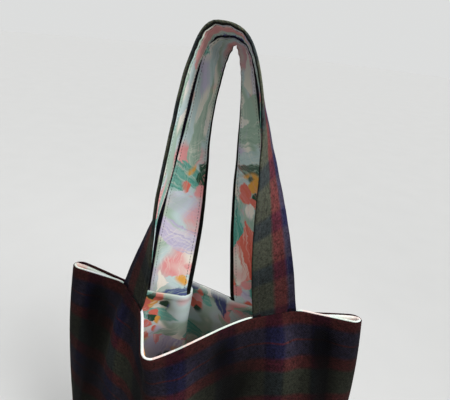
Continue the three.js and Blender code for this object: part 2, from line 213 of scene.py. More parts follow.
class ToteSizes(bpy.types.PropertyGroup):
    """Sizes of the bag's cloth, handles and stitches."""

    panel_width: size("Panel width", "Cloth of a panel from side seam to side seam", 0.366)
    rim_height: size("Rim height", "Height of the standing bag's rim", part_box("outer_front_panel")[1].z)
    base_depth: size("Base depth", "Depth of the boxed bottom, front to back", 0.090)
    seam_line: size("Seam line", "Side seams behind the middle of the bag's depth", 0.015)
    outer_cloth: size("Outer cloth", "Thickness of the woollen cloth", 0.0014)
    lining_cloth: size("Lining cloth", "Thickness of the lining", 0.0006)
    cloth_gap: size("Cloth gap", "From the outer face to the hidden face of the lining", 0.0030)
    tail_depth: size("Tail middle", "From the outer face to the middle of a handle's sewn-in end", 0.0022)
    tail_cloth: size("Tail cloth", "Thickness of a handle where the rim seam presses it", 0.0010)
    tail_length: size("Tail length", "How far a handle end reaches down inside the rim", 0.028)
    strap_width: size("Strap width", "Width of a handle", 0.045)
    strap_thickness: size("Strap thickness", "Thickness of a handle with its lining", 0.0031)
    strap_cloth: size("Strap cloth", "Thickness of one layer of a handle's wool", 0.0010)
    strap_turn: size("Strap turn", "Wool turned in along each edge of a handle", 0.0075)
    strap_lining_width: size("Strap lining width", "Width of the lining strip inside a handle", 0.036)
    handle_gap: size("Handle gap", "Air between the two handles at their tops", 0.0025)
    handle_meet: size("Handle meet", "Where the handles meet, behind the side seams", 0.0025)
    stitch_inset: size("Stitch inset", "From the edge of a handle's lining to its stitching", 0.0022)
    stitch_pitch: size("Stitch pitch", "From one stitch to the next", 0.0030)
    stitch_length: size("Stitch length", "Thread of a stitch that shows", 0.0024)
    stitch_width: size("Stitch width", "Thickness of the sewing thread", 0.0005)


class ToteColours(bpy.types.PropertyGroup):
    """Colours of the tartan, the print and the thread."""

    red: colour("Red", "Red yarn of the tartan", (0.047, 0.0056, 0.0095))
    navy: colour("Navy", "Navy yarn of the tartan", (0.0072, 0.0080, 0.029))
    green: colour("Green", "Green yarn of the tartan", (0.0135, 0.0205, 0.016))
    olive: colour("Olive", "Light olive yarn of the tartan", (0.027, 0.020, 0.013))
    black: colour("Black", "Darkest yarn of the tartan", (0.0062, 0.0058, 0.0095))
    sky: colour("Sky", "Pale blue of the print", (0.55, 0.68, 0.68))
    cream: colour("Cream", "Cream white of the print", (0.86, 0.82, 0.73))
    lavender: colour("Lavender", "Lavender of the print", (0.58, 0.54, 0.70))
    pink: colour("Pink", "Pink of the print", (0.80, 0.33, 0.33))
    coral: colour("Coral", "Coral of the print", (0.74, 0.17, 0.12))
    teal: colour("Teal", "Teal of the print", (0.11, 0.40, 0.33))
    sage: colour("Sage", "Grey green of the print", (0.38, 0.52, 0.42))
    leaf: colour("Leaf", "Dark green of the print", (0.016, 0.075, 0.040))
    amber: colour("Amber", "Amber of the print", (0.78, 0.38, 0.07))
    ink: colour("Ink", "Ink blue of the print", (0.030, 0.050, 0.22))
    thread: colour("Thread", "Sewing thread", (0.014, 0.012, 0.016))


def smoothstep(share):
    """A smooth rise from 0 to 1 as share goes from 0 to 1."""
    share = np.clip(share, 0.0, 1.0)
    return share * share * (3 - 2 * share)


def spread(keys, step):
    """Places from the first key to the last, with each key among them and none further apart than a step."""
    parts = [
        np.linspace(a, b, max(1, math.ceil((b - a) / step)) + 1)[:-1] for a, b in zip(keys, keys[1:]) if b > a
    ]
    return np.concatenate([*parts, keys[-1:]])


def unit(vectors):
    """Vectors of length 1 along the last axis."""
    return vectors / np.linalg.norm(vectors, axis=-1, keepdims=True)


class Side:
    """One side of the bag: its stretches of rim and floor, and where its handle is sewn in."""

    def __init__(self, name, sizes):
        facts = FOLDS[name]
        self.name = name
        self.outward = facts["outward"]
        self.droop = facts["droop"]
        self.dip = facts["dip"]
        self.inset = facts["inset"]
        self.rise = facts["rise"]
        self.legs = facts["legs"]
        left_side, left_strap, fold_left, fold_right, right_strap, right_side = facts["headings"]
        self.fold_start = self.inset + sizes.strap_width
        self.fold_edge = self.fold_start + facts["fold_left"]
        self.fold_end = sizes.panel_width - self.fold_start
        self.straps = {"left": self.inset, "right": self.fold_end}
        turn = 90 * self.outward
        self.rim = [
            (SIDE_TURN, turn),
            (self.inset - SIDE_TURN, left_side),
            (sizes.strap_width, left_strap),
            (facts["fold_left"], fold_left),
            (self.fold_end - self.fold_edge, fold_right),
            (sizes.strap_width, right_strap),
            (self.inset - SIDE_TURN, right_side),
            (SIDE_TURN, -turn),
        ]
        half = sizes.base_depth / 2
        self.floor = [(half, turn), (sizes.panel_width - sizes.base_depth, 0), (half, -turn)]


def rounded_heading(stretches, places, rounding):
    """Heading at each place, averaged over a rounding so that each fold turns smoothly."""
    lengths, headings = np.array(stretches, float).T
    ends = np.concatenate([[0.0], np.cumsum(lengths)])
    sums = np.concatenate([[0.0], np.cumsum(lengths * headings)])

    def total(at):
        beyond = np.minimum(at, 0) * headings[0] + np.maximum(at - ends[-1], 0) * headings[-1]
        return np.interp(at, ends, sums) + beyond

    return (total(places + rounding / 2) - total(places - rounding / 2)) / rounding


class BagShape:
    """The bag's cloth in space: its folded panels and the curves of its handles."""

    def __init__(self, sizes):
        self.sizes = sizes
        self.sides = {name: Side(name, sizes) for name in FOLDS}
        self.plans = {}

    def raw_plan(self, side, level):
        """Plan of one panel at a level, from 0 at the rim to 1 at the floor."""
        folded = (1 - level) ** FOLD_EASE
        step = self.sizes.panel_width / PLAN_STEPS
        places = (np.arange(PLAN_STEPS) + 0.5) * step
        at_rim = rounded_heading(side.rim, places, FOLD_ROUNDING)
        at_floor = rounded_heading(side.floor, places, CORNER_ROUNDING)
        heading = np.radians(at_floor + (at_rim - at_floor) * folded)
        steps = np.stack([np.cos(heading), np.sin(heading)], 1) * step
        return np.concatenate([[[0.0, 0.0]], np.cumsum(steps, 0)])

    def level_plans(self, level):
        """Both panels of a level drawn to one width, with their ends on the side seams."""
        if level not in self.plans:
            raw = {name: self.raw_plan(side, level) for name, side in self.sides.items()}
            width = sum(points[-1, 0] for points in raw.values()) / len(raw)
            fitted = {}
            for name, points in raw.items():
                end = points[-1]
                x = (points[:, 0] / end[0] - 0.5) * width
                y = points[:, 1] - end[1] * points[:, 0] / end[0] + self.sizes.seam_line
                fitted[name] = np.stack([x, y], 1)
            self.plans[level] = fitted
        return self.plans[level]

    def plan_at(self, side, places, level):
        """Points and inward directions of a panel's face in plan."""
        points = self.level_plans(level)[side.name]
        grid = np.linspace(0, self.sizes.panel_width, len(points))
        way = unit(np.gradient(points, axis=0))
        inward = np.stack([side.outward * way[:, 1], -side.outward * way[:, 0]], 1)
        inward[0] = (1, 0)
        inward[-1] = (-1, 0)
        at = np.stack([np.interp(places, grid, points[:, k]) for k in range(2)], 1)
        into = unit(np.stack([np.interp(places, grid, inward[:, k]) for k in range(2)], 1))
        return at, into

    def rim_z(self, side, places):
        """Height of the rim at places along it."""
        before = (places - side.fold_start) / (side.fold_edge - side.fold_start)
        after = (side.fold_end - places) / (side.fold_end - side.fold_edge)
        sag = smoothstep(np.where(places < side.fold_edge, before, after))
        from_seam = np.minimum(places, self.sizes.panel_width - places) / side.inset
        return self.sizes.rim_height - side.dip * smoothstep(from_seam) - side.droop * sag

    def wall(self, side, places, drop, depth):
        """Points of the wall: along the rim, down from it, and in from the outer face."""
        level = drop / self.sizes.rim_height
        at, inward = self.plan_at(side, places, level)
        z = (1 - level) * self.rim_z(side, places)
        return np.column_stack([at + inward * np.reshape(depth, (-1, 1)), z])


class Leg:
    """One leg of a handle: a curve from the rim to the top of the loop, with its turning width."""

    def __init__(self, shape, panel, hand):
        sizes = shape.sizes
        side = panel.side
        self.sizes = sizes
        self.panel = panel
        self.side = side
        self.start = side.straps[hand]
        middle = np.array([self.start + sizes.strap_width / 2])
        base = shape.wall(side, middle, 0.0, sizes.tail_depth)[0]
        from_meet = side.outward * (sizes.strap_width + sizes.handle_gap) / 2
        top_y = sizes.seam_line + sizes.handle_meet + from_meet
        top = np.array([HANDLE_TOP_X, top_y, sizes.rim_height + side.rise])
        facts = side.legs[hand]
        bend = top + [np.sign(base[0]) * facts["crown"], 0, 0]
        controls = (base, base + (top - base) * facts["lean"], bend, top)
        self.twist = facts["twist"]
        t = np.linspace(0, 1, CURVE_STEPS + 1)[:, None]
        weights = ((1 - t) ** 3, 3 * (1 - t) ** 2 * t, 3 * (1 - t) * t * t, t**3)
        self.points = sum(w * c for w, c in zip(weights, controls))
        lengths = np.linalg.norm(np.diff(self.points, axis=0), axis=1)
        self.along = np.concatenate([[0.0], np.cumsum(lengths)])
        self.length = self.along[-1]
        self.ways = unit(np.gradient(self.points, axis=0))
        _, inward = shape.plan_at(side, middle, 0.0)
        across = (-side.outward * inward[0, 1], side.outward * inward[0, 0])
        self.turn_from = math.atan2(across[1], across[0])
        self.facing = math.radians(90 * side.outward * (1 if hand == "left" else -1))
        self.turn = math.radians(facts["turn"])

    def frames(self, rises):
        """Middle, width direction, outward direction and way up of the leg at lengths along it."""
        at = np.clip(rises, 0, self.length)
        middle = np.stack([np.interp(at, self.along, self.points[:, k]) for k in range(3)], 1)
        up = unit(np.stack([np.interp(at, self.along, self.ways[:, k]) for k in range(3)], 1))
        start, end = self.twist
        twisted = smoothstep((at / self.length - start) / (end - start))
        angle = self.turn_from + (self.facing + self.turn * up[:, 2] - self.turn_from) * twisted
        slope = -math.tan(math.radians(LOOP_TILT)) * twisted
        across = np.stack([np.cos(angle), np.sin(angle), slope * np.sin(angle)], 1)
        across = unit(across - up * np.sum(across * up, 1, keepdims=True))
        out = -self.side.outward * np.cross(across, up)
        return middle, across, out, up

    def strip(self, rises, edges, faces):
        """Points of a layer of the leg: rows at lengths along it, with places across it and out."""
        sizes = self.sizes
        middle, across, out, up = self.frames(rises)
        pressed = sizes.tail_cloth / sizes.strap_thickness
        free_share = smoothstep(rises / STRAP_ROOT)
        rows = []
        for k, rise in enumerate(rises):
            face = faces[k] * (pressed + (1 - pressed) * free_share[k])
            row = middle[k] + across[k] * edges[k][:, None] + out[k] * face[:, None]
            if free_share[k] < 1:
                places = self.start + sizes.strap_width / 2 + edges[k]
                sewn = self.panel.spots(places, max(-rise, 0.0), sizes.tail_depth - face)
                sewn = sewn + up[k] * max(rise, 0.0)
                row = sewn + (row - sewn) * free_share[k]
            rows.append(row)
        return np.array(rows).reshape(len(rises), edges.shape[1], 3)


class Handle:
    """A whole handle: its two legs joined at the top into one strip."""

    # Waves along the strip, sideways, in width and outwards: how many to a metre, and their layer of noise
    waves = ((24, 0.0), (40, 7.0), (60, 13.0))
    # How far those waves go: in metres, as a share of the width, and in metres
    sway, swell, buckle = 0.0008, 0.016, 0.0004
    # Pucker of the inner face at the top: reach along the strip, length of a wave and height
    pucker = (0.032, 0.0085, 0.0005)

    def __init__(self, shape, panel):
        self.side = panel.side
        self.left, self.right = (Leg(shape, panel, hand) for hand in HANDS)
        self.tail = shape.sizes.tail_length
        self.length = self.left.length + self.right.length + 2 * self.tail

    def strip(self, runs, edges, faces):
        """Points of a layer, with its rows at lengths along the strip from the left end."""
        runs = np.asarray(runs, float)
        seed = 5.0 + self.side.outward
        sideways, widening, outwards = (
            np.array([noise.noise(Vector((run * count, seed, layer))) for run in runs])[:, None]
            for count, layer in self.waves
        )
        reach, wave, height = self.pucker
        from_top = (runs[:, None] - self.tail - self.left.length) / reach
        puckered = np.sin(runs[:, None] * 2 * math.pi / wave + 3 * outwards) * np.exp(-(from_top**2))
        edges = edges * (1 + self.swell * widening) + self.sway * sideways
        faces = faces + self.buckle * outwards + np.where(faces < 0, height * puckered, 0.0)
        left = runs <= self.tail + self.left.length
        first = self.left.strip(runs[left] - self.tail, edges[left], faces[left])
        second = self.right.strip(self.length - self.tail - runs[~left], -edges[~left], faces[~left])
        return np.concatenate([first, second])


def drape(shape, side, places, downs):
    """Outer face of a panel in rows and columns of points, down the wall and in along the bottom."""
    sizes = shape.sizes
    height = sizes.rim_height
    rows = [shape.wall(side, places, min(down, height), 0.0) for down in downs]
    points = np.array(rows)
    foot = shape.wall(side, places, height, 0.0)
    half = sizes.base_depth / 2
    on_floor = (places >= half - TINY) & (places <= sizes.panel_width - half + TINY)
    share_across = (places - half) / (sizes.panel_width - sizes.base_depth)
    width = foot[:, 0].max() - foot[:, 0].min()
    seam_x = (share_across - 0.5) * width
    for k, down in enumerate(downs):
        if down > height:
            share = (down - height) / half
            # The columns are spaced as at the bottom seam from a third of the way in
            spaced = min(1, 3 * share)
            points[k, on_floor, 0] = (foot[:, 0] + (seam_x - foot[:, 0]) * spaced)[on_floor]
            points[k, on_floor, 1] = (foot[:, 1] + (sizes.seam_line - foot[:, 1]) * share)[on_floor]
            points[k, ~on_floor, 2] = height - down
    return points, on_floor


def round_bottom(points, downs, places, sizes):
    """Rounds the fold between wall and bottom by averaging each column over a stretch of cloth."""
    half = sizes.base_depth / 2
    from_corner = np.minimum(places - half, sizes.panel_width - half - places)
    reach = BOTTOM_ROUNDING * smoothstep(from_corner / BOTTOM_FADE)
    fine = np.arange(downs[0], downs[-1], BOTTOM_STEP)
    # Rows that the rounding reaches, with some to spare
    near = np.abs(downs - sizes.rim_height) < 1.25 * BOTTOM_ROUNDING
    rounded = points.copy()
    for i, window in enumerate(reach):
        if window > BOTTOM_STEP:
            column = np.stack([np.interp(fine, downs, points[:, i, k]) for k in range(3)], 1)
            sums = np.concatenate([np.zeros((1, 3)), np.cumsum(column, 0)])
            for j in np.flatnonzero(near):
                low, high = (np.searchsorted(fine, downs[j] + end * window / 2) for end in (-1, 1))
                rounded[j, i] = (sums[high] - sums[low]) / (high - low)
    return rounded


def inward_normals(points, side):
    """Directions into the bag at each point of a panel's face."""
    down, across = np.gradient(points, axis=0), np.gradient(points, axis=1)
    return unit(np.cross(across, down)) * -side.outward


def grown(distance, calm):
    """How far folds have grown at a distance from an edge beside which the cloth stays smooth."""
    smooth, growth = calm
    return smoothstep((distance - smooth) / growth)


def wrinkle(side, places, downs, sizes):
    """Height of the soft folds of a panel's cloth at each point."""
    seed = 3.7 * side.outward
    across, down = np.meshgrid(places, downs)
    # Noise with its waves to a metre across and down, each kind from its own part
    slow, quick, slump = (np.zeros_like(across) for _ in range(3))
    for j in range(len(downs)):
        for i in range(len(places)):
            s, d = across[j, i], down[j, i]
            slow[j, i] = noise.noise(Vector((s * 17 + seed, d * 5, seed)))
            quick[j, i] = noise.noise(Vector((s * 42 - seed + d * 9, d * 13, 2 * seed)))
            slump[j, i] = noise.noise(Vector((s * 9 + seed, d * 34 + s * 6, 3 * seed)))
    up = sizes.rim_height - down
    from_side = grown(np.minimum(across, sizes.panel_width - across), SIDE_CALM)
    low = grown(down, SLUMP_CALM)
    waves = SLOW_FOLD * slow + QUICK_FOLD * quick + SLUMP_FOLD * low * slump
    relief = waves * grown(down, RIM_CALM) * grown(up, FOOT_CALM) * from_side
    relief += LOW_BULGE * low * grown(up, BULGE_CALM) * from_side
    reach = PULL_WIDTH + PULL_SPREAD * down
    drawn = grown(down, PULL_CALM) * np.exp(-down / PULL_FADE)
    for hand, start in side.straps.items():
        for share, height in PULLS:
            place = share if hand == "right" else 1 - share
            away = across - start - place * sizes.strap_width
            relief += height * np.exp(-((away / reach) ** 2)) * drawn * from_side
    return relief


class Panel:
    """The finished surface of one side of the bag, from which its cloth and its lining are taken."""

    def __init__(self, shape, side):
        sizes = shape.sizes
        half, width, height = sizes.base_depth / 2, sizes.panel_width, sizes.rim_height
        straps = [place for start in side.straps.values() for place in (start, start + sizes.strap_width)]
        ends = [
            place
            for step in SEAM_LINES
            for place in (step, half + step, width - half - step, width - step)
        ]
        self.side = side
        self.height = height
        self.places = spread(sorted([side.fold_edge, *straps, *ends]), COLUMN_STEP)
        levels = [level for step in SEAM_LINES for level in (step, height - step, height + half - step)]
        self.downs = spread(sorted(levels), ROW_STEP)
        points, self.on_floor = drape(shape, side, self.places, self.downs)
        points = round_bottom(points, self.downs, self.places, sizes)
        self.folds = wrinkle(side, self.places, self.downs, sizes)
        self.points = points - self.squared(inward_normals(points, side)) * self.folds[..., None]
        self.inward = self.squared(inward_normals(self.points, side))
        self.points = self.drawn_in(sizes)

    def squared(self, inward):
        """Directions into the bag, with both panels' directions alike along the side seams."""
        inward[:, 0] = (1, 0, 0)
        inward[:, -1] = (-1, 0, 0)
        return inward

    def drawn_in(self, sizes):
        """The surface with its edges drawn in by the side, corner and bottom seams."""
        across, down = np.meshgrid(self.places, self.downs)
        half = sizes.base_depth / 2
        wall = down <= self.height + TINY
        from_side = np.minimum(across, sizes.panel_width - across)
        side = np.exp(-((from_side / SEAM_REACH) ** 2)) * wall
        from_corner = np.where(wall, self.height - down, np.abs(from_side - half))
        corner = np.exp(-((from_corner / SEAM_REACH) ** 2)) * np.where(wall, from_side <= half + TINY, True)
        bottom = np.exp(-(((self.height + half - down) / SEAM_REACH) ** 2))
        drawn = SEAM_DEPTH * np.maximum(side, np.maximum(corner, bottom))
        points = self.points + self.inward * drawn[..., None]
        points[..., 2] += SEAM_DEPTH * corner * wall
        points[..., 0] -= np.sign(points[..., 0]) * SEAM_DEPTH * corner * ~wall
        return points

    def layer(self, depth):
        """A layer of cloth inside the outer face, with its boxed corners kept clear of the outer cloth."""
        points = self.points + self.inward * depth
        down = self.downs[:, None]
        near_foot = smoothstep((down - self.height + FOOT_REACH) / FOOT_REACH) * ~self.on_floor
        points[..., 2] += np.where(down <= self.height + TINY, depth * near_foot, 0.0)
        reach = np.abs(points[-1, self.on_floor, 0]).max()
        floor = self.downs > self.height + TINY
        points[floor, :, 0] *= (reach - depth) / reach
        return points

    def spots(self, places, down, depth):
        """Points at places along the rim, at one distance down from it and in from the outer face."""
        high = max(1, int(np.searchsorted(self.downs, down)))
        share = (down - self.downs[high - 1]) / (self.downs[high] - self.downs[high - 1])
        sampled = []
        for grid in (self.points, self.inward):
            row = grid[high - 1] + (grid[high] - grid[high - 1]) * share
            sampled.append(np.stack([np.interp(places, self.places, row[:, k]) for k in range(3)], 1))
        return sampled[0] + unit(sampled[1]) * np.reshape(depth, (-1, 1))

    def has_cell(self, i, j):
        """True where the cut has cloth: not in the notches of the boxed corners."""
        return self.downs[j] < self.height - TINY or (self.on_floor[i] and self.on_floor[i + 1])


def cloth_object(name, points, cloth, has_cell, flip):
    """A sheet of cloth from rows and columns of points, with their places in the cut and a UV map."""
    rows, columns = points.shape[:2]
    bm = bmesh.new()
    bmesh.ops.create_grid(bm, x_segments=columns - 1, y_segments=rows - 1, size=0.5)
    cut = bm.verts.layers.float_vector.new("cloth")
    uv = bm.loops.layers.uv.new("UVMap")
    at = {}
    for vert in bm.verts:
        i = round((vert.co.x + 0.5) * (columns - 1))
        j = round((0.5 - vert.co.y) * (rows - 1))
        at[vert] = (i, j)
        vert.co = points[j, i]
        vert[cut] = cloth[j, i]
    missing = []
    for face in bm.faces:
        spots = [at[vert] for vert in face.verts]
        i, j = min(spot[0] for spot in spots), min(spot[1] for spot in spots)
        if not has_cell(i, j):
            missing.append(face)
        for loop in face.loops:
            i, j = at[loop.vert]
            loop[uv].uv = (i / (columns - 1), 1 - j / (rows - 1))
        face.smooth = True
    bmesh.ops.delete(bm, geom=missing, context="FACES")
    if flip:
        bmesh.ops.reverse_faces(bm, faces=bm.faces)
    return finished(name, bm)


def finished(name, bm):
    """A new object at the origin with the mesh of a bmesh."""
    mesh = bpy.data.meshes.new(name)
    bm.to_mesh(mesh)
    bm.free()
    piece = bpy.data.objects.new(name, mesh)
    bpy.context.scene.collection.objects.link(piece)
    return piece


def thicken(piece, thickness, outwards):
    """Gives a sheet its thickness, to the side that its faces point to or away from it."""
    solid = piece.modifiers.new("Thickness", "SOLIDIFY")
    solid.thickness = thickness
    solid.offset = 1 if outwards else -1
    solid.use_even_offset = False


def dress(piece, material):
    """Gives a piece its material."""
    piece.data.materials.append(material)


class Value:
    """A shader value: arithmetic on it in Python adds Math nodes."""

    def __init__(self, shader, socket):
        self.shader = shader
        self.socket = socket

    def math(self, operation, *values):
        """A Math node's result."""
        return self.shader.add("ShaderNodeMath", {"operation": operation}, dict(enumerate(values)))

    def __add__(self, other):
        return self.math("ADD", self, other)

    __radd__ = __add__

    def __sub__(self, other):
        return self.math("SUBTRACT", self, other)

    def __rsub__(self, other):
        return self.math("SUBTRACT", other, self)

    def __mul__(self, other):
        return self.math("MULTIPLY", self, other)

    __rmul__ = __mul__

    def __truediv__(self, other):
        return self.math("DIVIDE", self, other)

    def __rtruediv__(self, other):
        return self.math("DIVIDE", other, self)

    def __pow__(self, other):
        return self.math("POWER", self, other)

    def fraction(self):
        """The part of the value after the point."""
        return self.math("FRACT", self)

    def wave(self):
        """Sine of the value."""
        return self.math("SINE", self)

    def size(self):
        """The value without its sign."""
        return self.math("ABSOLUTE", self)


class Shader:
    """Node tree of a material or of the world, built from expressions."""

    def __init__(self, owner, surface="Principled BSDF"):
        owner.use_nodes = True
        self.owner = owner
        self.nodes = owner.node_tree.nodes
        self.links = owner.node_tree.links
        self.surface = self.nodes[surface]

    def add(self, kind, settings, sockets, out=0):
        """Adds a node: its settings first, then the values or links of its sockets, and gives one output."""
        node = self.nodes.new(kind)
        for name, setting in settings.items():
            if name == "stops":
                self.set_stops(node.color_ramp, setting)
            elif name == "interpolation":
                node.color_ramp.interpolation = setting
            else:
                setattr(node, name, setting)
        for name, value in sockets.items():
            self.feed(node.inputs[name], value)
        return Value(self, node.outputs[out])

    def feed(self, socket, value):
        """Links a value to a socket, or sets it there."""
        if isinstance(value, Value):
            self.links.new(value.socket, socket)
        else:
            socket.default_value = value

    def set_stops(self, ramp, stops):
        """Gives a colour ramp its stops, each a place and a colour."""
        while len(ramp.elements) < len(stops):
            ramp.elements.new(1.0)
        for element, (place, shade) in zip(ramp.elements, stops):
            element.position = place
            element.color = shade

    def ramp(self, value, stops, interpolation="EASE"):
        """Colour of a ramp at a value."""
        settings = {"interpolation": interpolation, "stops": stops}
        return self.add("ShaderNodeValToRGB", settings, {"Fac": value})

    def mix(self, share, first, second, kind="MIX"):
        """Two colours, mixed by a share or blended in another way."""
        settings = {"data_type": "RGBA", "blend_type": kind}
        return self.add("ShaderNodeMix", settings, {0: share, 6: first, 7: second}, out=2)

    def smooth(self, value, low, high):
        """A smooth rise from 0 at low to 1 at high, or a fall where low is the larger."""
        settings = {"interpolation_type": "SMOOTHSTEP"}
        return self.add("ShaderNodeMapRange", settings, {"Value": value, "From Min": low, "From Max": high})

    def noise(self, vector, scale, detail=2.0, out="Fac"):
        """Noise over a surface, as a value or as a colour."""
        settings = {"noise_dimensions": "2D"}
        sockets = {"Vector": vector, "Scale": scale, "Detail": detail}
        return self.add("ShaderNodeTexNoise", settings, sockets, out=out)

    def vector(self, operation, first, second):
        """A Vector Math node's result."""
        return self.add("ShaderNodeVectorMath", {"operation": operation}, {0: first, 1: second})

    def scaled(self, vector, factor):
        """A vector times a factor."""
        return self.add("ShaderNodeVectorMath", {"operation": "SCALE"}, {0: vector, "Scale": factor})

    def joined(self, x, y):
        """A vector of two values."""
        return self.add("ShaderNodeCombineXYZ", {}, {"X": x, "Y": y})

    def grey(self, value):
        """A grey of a value, as a colour."""
        return self.add("ShaderNodeCombineColor", {}, {"Red": value, "Green": value, "Blue": value})

    def split(self, vector):
        """The three parts of a vector."""
        node = self.nodes.new("ShaderNodeSeparateXYZ")
        self.links.new(vector.socket, node.inputs[0])
        return [Value(self, out) for out in node.outputs]

    def cloth(self):
        """Place in the flat cut, in metres."""
        return self.add("ShaderNodeAttribute", {"attribute_name": "cloth"}, {}, out="Vector")

    def bump(self, height, strength, distance):
        """Feeds the surface's normal from a height."""
        sockets = {"Height": height, "Strength": strength, "Distance": distance}
        self.feed(self.surface.inputs["Normal"], self.add("ShaderNodeBump", {}, sockets, out="Normal"))

    def finish(self, sockets):
        """Sets the surface's sockets and gives what the nodes belong to."""
        for name, value in sockets.items():
            self.feed(self.surface.inputs[name], value)
        return self.owner


# Thickness of the yarns of the wool and of the cotton
WOOL_YARN = 0.00055
COTTON_YARN = 0.00045

# Softness of the edge of a tartan's stripe, and the most that it takes of the stripe's width
STRIPE_BLUR = 0.0020
STRIPE_BLUR_SHARE = 0.45
# Widths of the tartan's stripes: warp of olive and black, weft of red, navy with a red line, red and green
WARP_WIDTHS = (0.030, 0.018)
WEFT_WIDTHS = (0.014, 0.015, 0.0015, 0.015, 0.014, 0.028)

# The print's motifs: how many lie along a metre, and their sizes, with the least and what chance adds to it
SWEEP_COUNT = 11.0
LEAF_COUNT = 15.0
LEAF_HALF_LENGTH = 0.034
LEAF_HALF_WIDTH = 0.011
BLOOM_COUNT = 7.0
BLOOM_RADIUS = (0.026, 0.022)
DAB_COUNT = 74.0
DAB_RADIUS = (0.0055, 0.0035)
FEATHER_COUNT = 26.0


def stripes(shader, place, widths, shades):
    """Colour of a tartan's stripes at a place, from widths and colours that repeat, with soft edges."""
    period = sum(widths)
    ends = np.cumsum(widths) - widths[0] / 2
    stops = [(0.0, shades[0])]
    for k, end in enumerate(ends):
        after = (k + 1) % len(widths)
        soft = min(STRIPE_BLUR, STRIPE_BLUR_SHARE * min(widths[k], widths[after]))
        stops += [((end - soft) / period, shades[k]), ((end + soft) / period, shades[after])]
    return shader.ramp(((place - widths[0] / 2) / period).fraction(), stops, "LINEAR")


def tartan_wool(colours):
    """Dark woollen tartan in a twill weave, with flecked and slightly felted yarn."""
    shader = Shader(bpy.data.materials.new("tartan_wool"))
    cloth = shader.cloth()
    # The cloth's third part carries painted light and shade, with some wear
    warp_place, weft_place, painted_light_and_wear = shader.split(cloth)
    names = ("red", "navy", "green", "olive", "black")
    red, navy, green, olive, black = (tuple(getattr(colours, name)) for name in names)
    # Tones that the weft takes where it crosses the olive and the black warp
    crossings = ((0.98, 0.94, 0.88, 1.0), (0.70, 0.67, 0.78, 1.0))
    drift = (shader.noise(cloth, 90.0, 2.0) - 0.5) * 0.0016
    weft = stripes(shader, weft_place + drift, WEFT_WIDTHS, (red, navy, red, navy, red, green))
    warp = stripes(shader, warp_place + drift, WARP_WIDTHS, (olive, black))
    crossed = stripes(shader, warp_place + drift, WARP_WIDTHS, crossings)
    sway = shader.noise(cloth, 260.0, 1.0) * 0.30
    rib = ((warp_place + weft_place) / (4 * WOOL_YARN) + sway).fraction()
    warp_over = shader.smooth((rib - 0.5).size(), 0.24, 0.36)
    woven = shader.mix(0.10 + 0.62 * warp_over, shader.mix(1.0, weft, crossed, "MULTIPLY"), warp)
    fleck = shader.noise(cloth, 520.0, 2.0)
    felt = shader.noise(cloth, 190.0, 3.0)
    wear = shader.noise(cloth, 14.0, 2.0)
    # Tone of the yarn's flecks, felt and random wear, times that painted light and shade with its wear
    shade = (1.0 + 1.8 * (fleck - 0.5) + 1.3 * (felt - 0.5) + 0.7 * (wear - 0.5)) * (1.0 + painted_light_and_wear)
    toned = shader.mix(1.0, woven, shader.grey(shade), "MULTIPLY")
    fluff = shader.smooth(shader.noise(cloth, 1500.0, 1.0), 0.60, 0.80)
    # Pale fluff on the wool, more of it where that painted light and wear are stronger
    fluffed = shader.mix((0.03 + 0.07 * painted_light_and_wear) * fluff, toned, (0.30, 0.26, 0.24, 1.0))
    across, along = ((place / WOOL_YARN * math.pi).wave() for place in (warp_place, weft_place))
    threads = (across * along).size()
    height = (rib - 0.5).size() * 1.6 + 0.35 * threads + 0.9 * fleck + 0.4 * felt
    shader.bump(height, 0.7, 0.0005)
    return shader.finish({
        "Base Color": fluffed,
        "Roughness": 0.86 + 0.12 * felt,
        "Sheen Weight": 0.025,
        "Sheen Roughness": 0.45,
        "Sheen Tint": (0.75, 0.70, 0.68, 1.0),
        "Specular IOR Level": 0.05,
    })


def scatter(shader, place, count, offset):
    """Spots strewn so many to a unit of place: two chance numbers for each, and the way from its middle."""
    moved = shader.vector("ADD", place, (*offset, 0.0))
    settings = {"voronoi_dimensions": "2D"}
    sockets = {"Vector": moved, "Scale": count, "Randomness": 0.9}
    middle = shader.add("ShaderNodeTexVoronoi", settings, sockets, out="Position")
    first, second, _ = shader.split(shader.add("ShaderNodeTexVoronoi", settings, sockets, out="Color"))
    x, y, _ = shader.split(shader.vector("SUBTRACT", moved, middle))
    return first, second, x, y


def turned(x, y, turn):
    """A place seen along and across a direction."""
    cosine, sine = turn.math("COSINE", turn), turn.wave()
    return x * cosine + y * sine, y * cosine - x * sine


def share_out(x, y, radius, chance):
    """How far out a place lies in a round motif, as a share of its radius."""
    least, more = radius
    return ((x * x + y * y) ** 0.5) / (least + more * chance)


def bristles(shader, along, aside, chance):
    """Marks that a brush's hairs leave along a stroke."""
    return shader.noise(shader.joined(along * 22.0 + chance * 40.0, aside * 520.0), 1.0, 3.0)


def painted_sweeps(shader, brushed, tones, ground):
    """Broad sweeps of a soft brush, laid in patches that each have their own direction."""
    chance, _, x, y = scatter(shader, brushed, SWEEP_COUNT, (0.71, 0.23))
    along, aside = turned(x, y, chance * 5.0 + 0.5)
    place = shader.joined(along * 12.0 + chance * 31.0, aside * 34.0)
    first, second, _, off = scatter(shader, place, 1.0, (0.0, 0.0))
    hairs = bristles(shader, along, aside, second)
    tone = shader.ramp(0.62 * first + 0.38 * chance, [
        (0.0, tones["lavender"]), (0.16, tones["cream"]), (0.24, tones["pink"]), (0.36, tones["sage"]),
        (0.46, tones["lavender"]), (0.54, tones["teal"]), (0.60, tones["sky"]), (0.68, tones["sage"]),
        (0.78, tones["amber"]), (0.84, tones["teal"]), (0.92, tones["coral"])], "CONSTANT")
    tone = shader.mix(0.45 * shader.smooth(hairs, 0.50, 0.72), tone, tones["cream"])
    tone = shader.mix(0.40 * shader.smooth(hairs, 0.46, 0.30), tone, shader.mix(1.0, tone, tone, "MULTIPLY"))
    body = shader.smooth(off.size() + 0.5 * (hairs - 0.5), 0.46, 0.28)
    return shader.mix(body * shader.smooth(second, 0.26, 0.34), ground, tone)


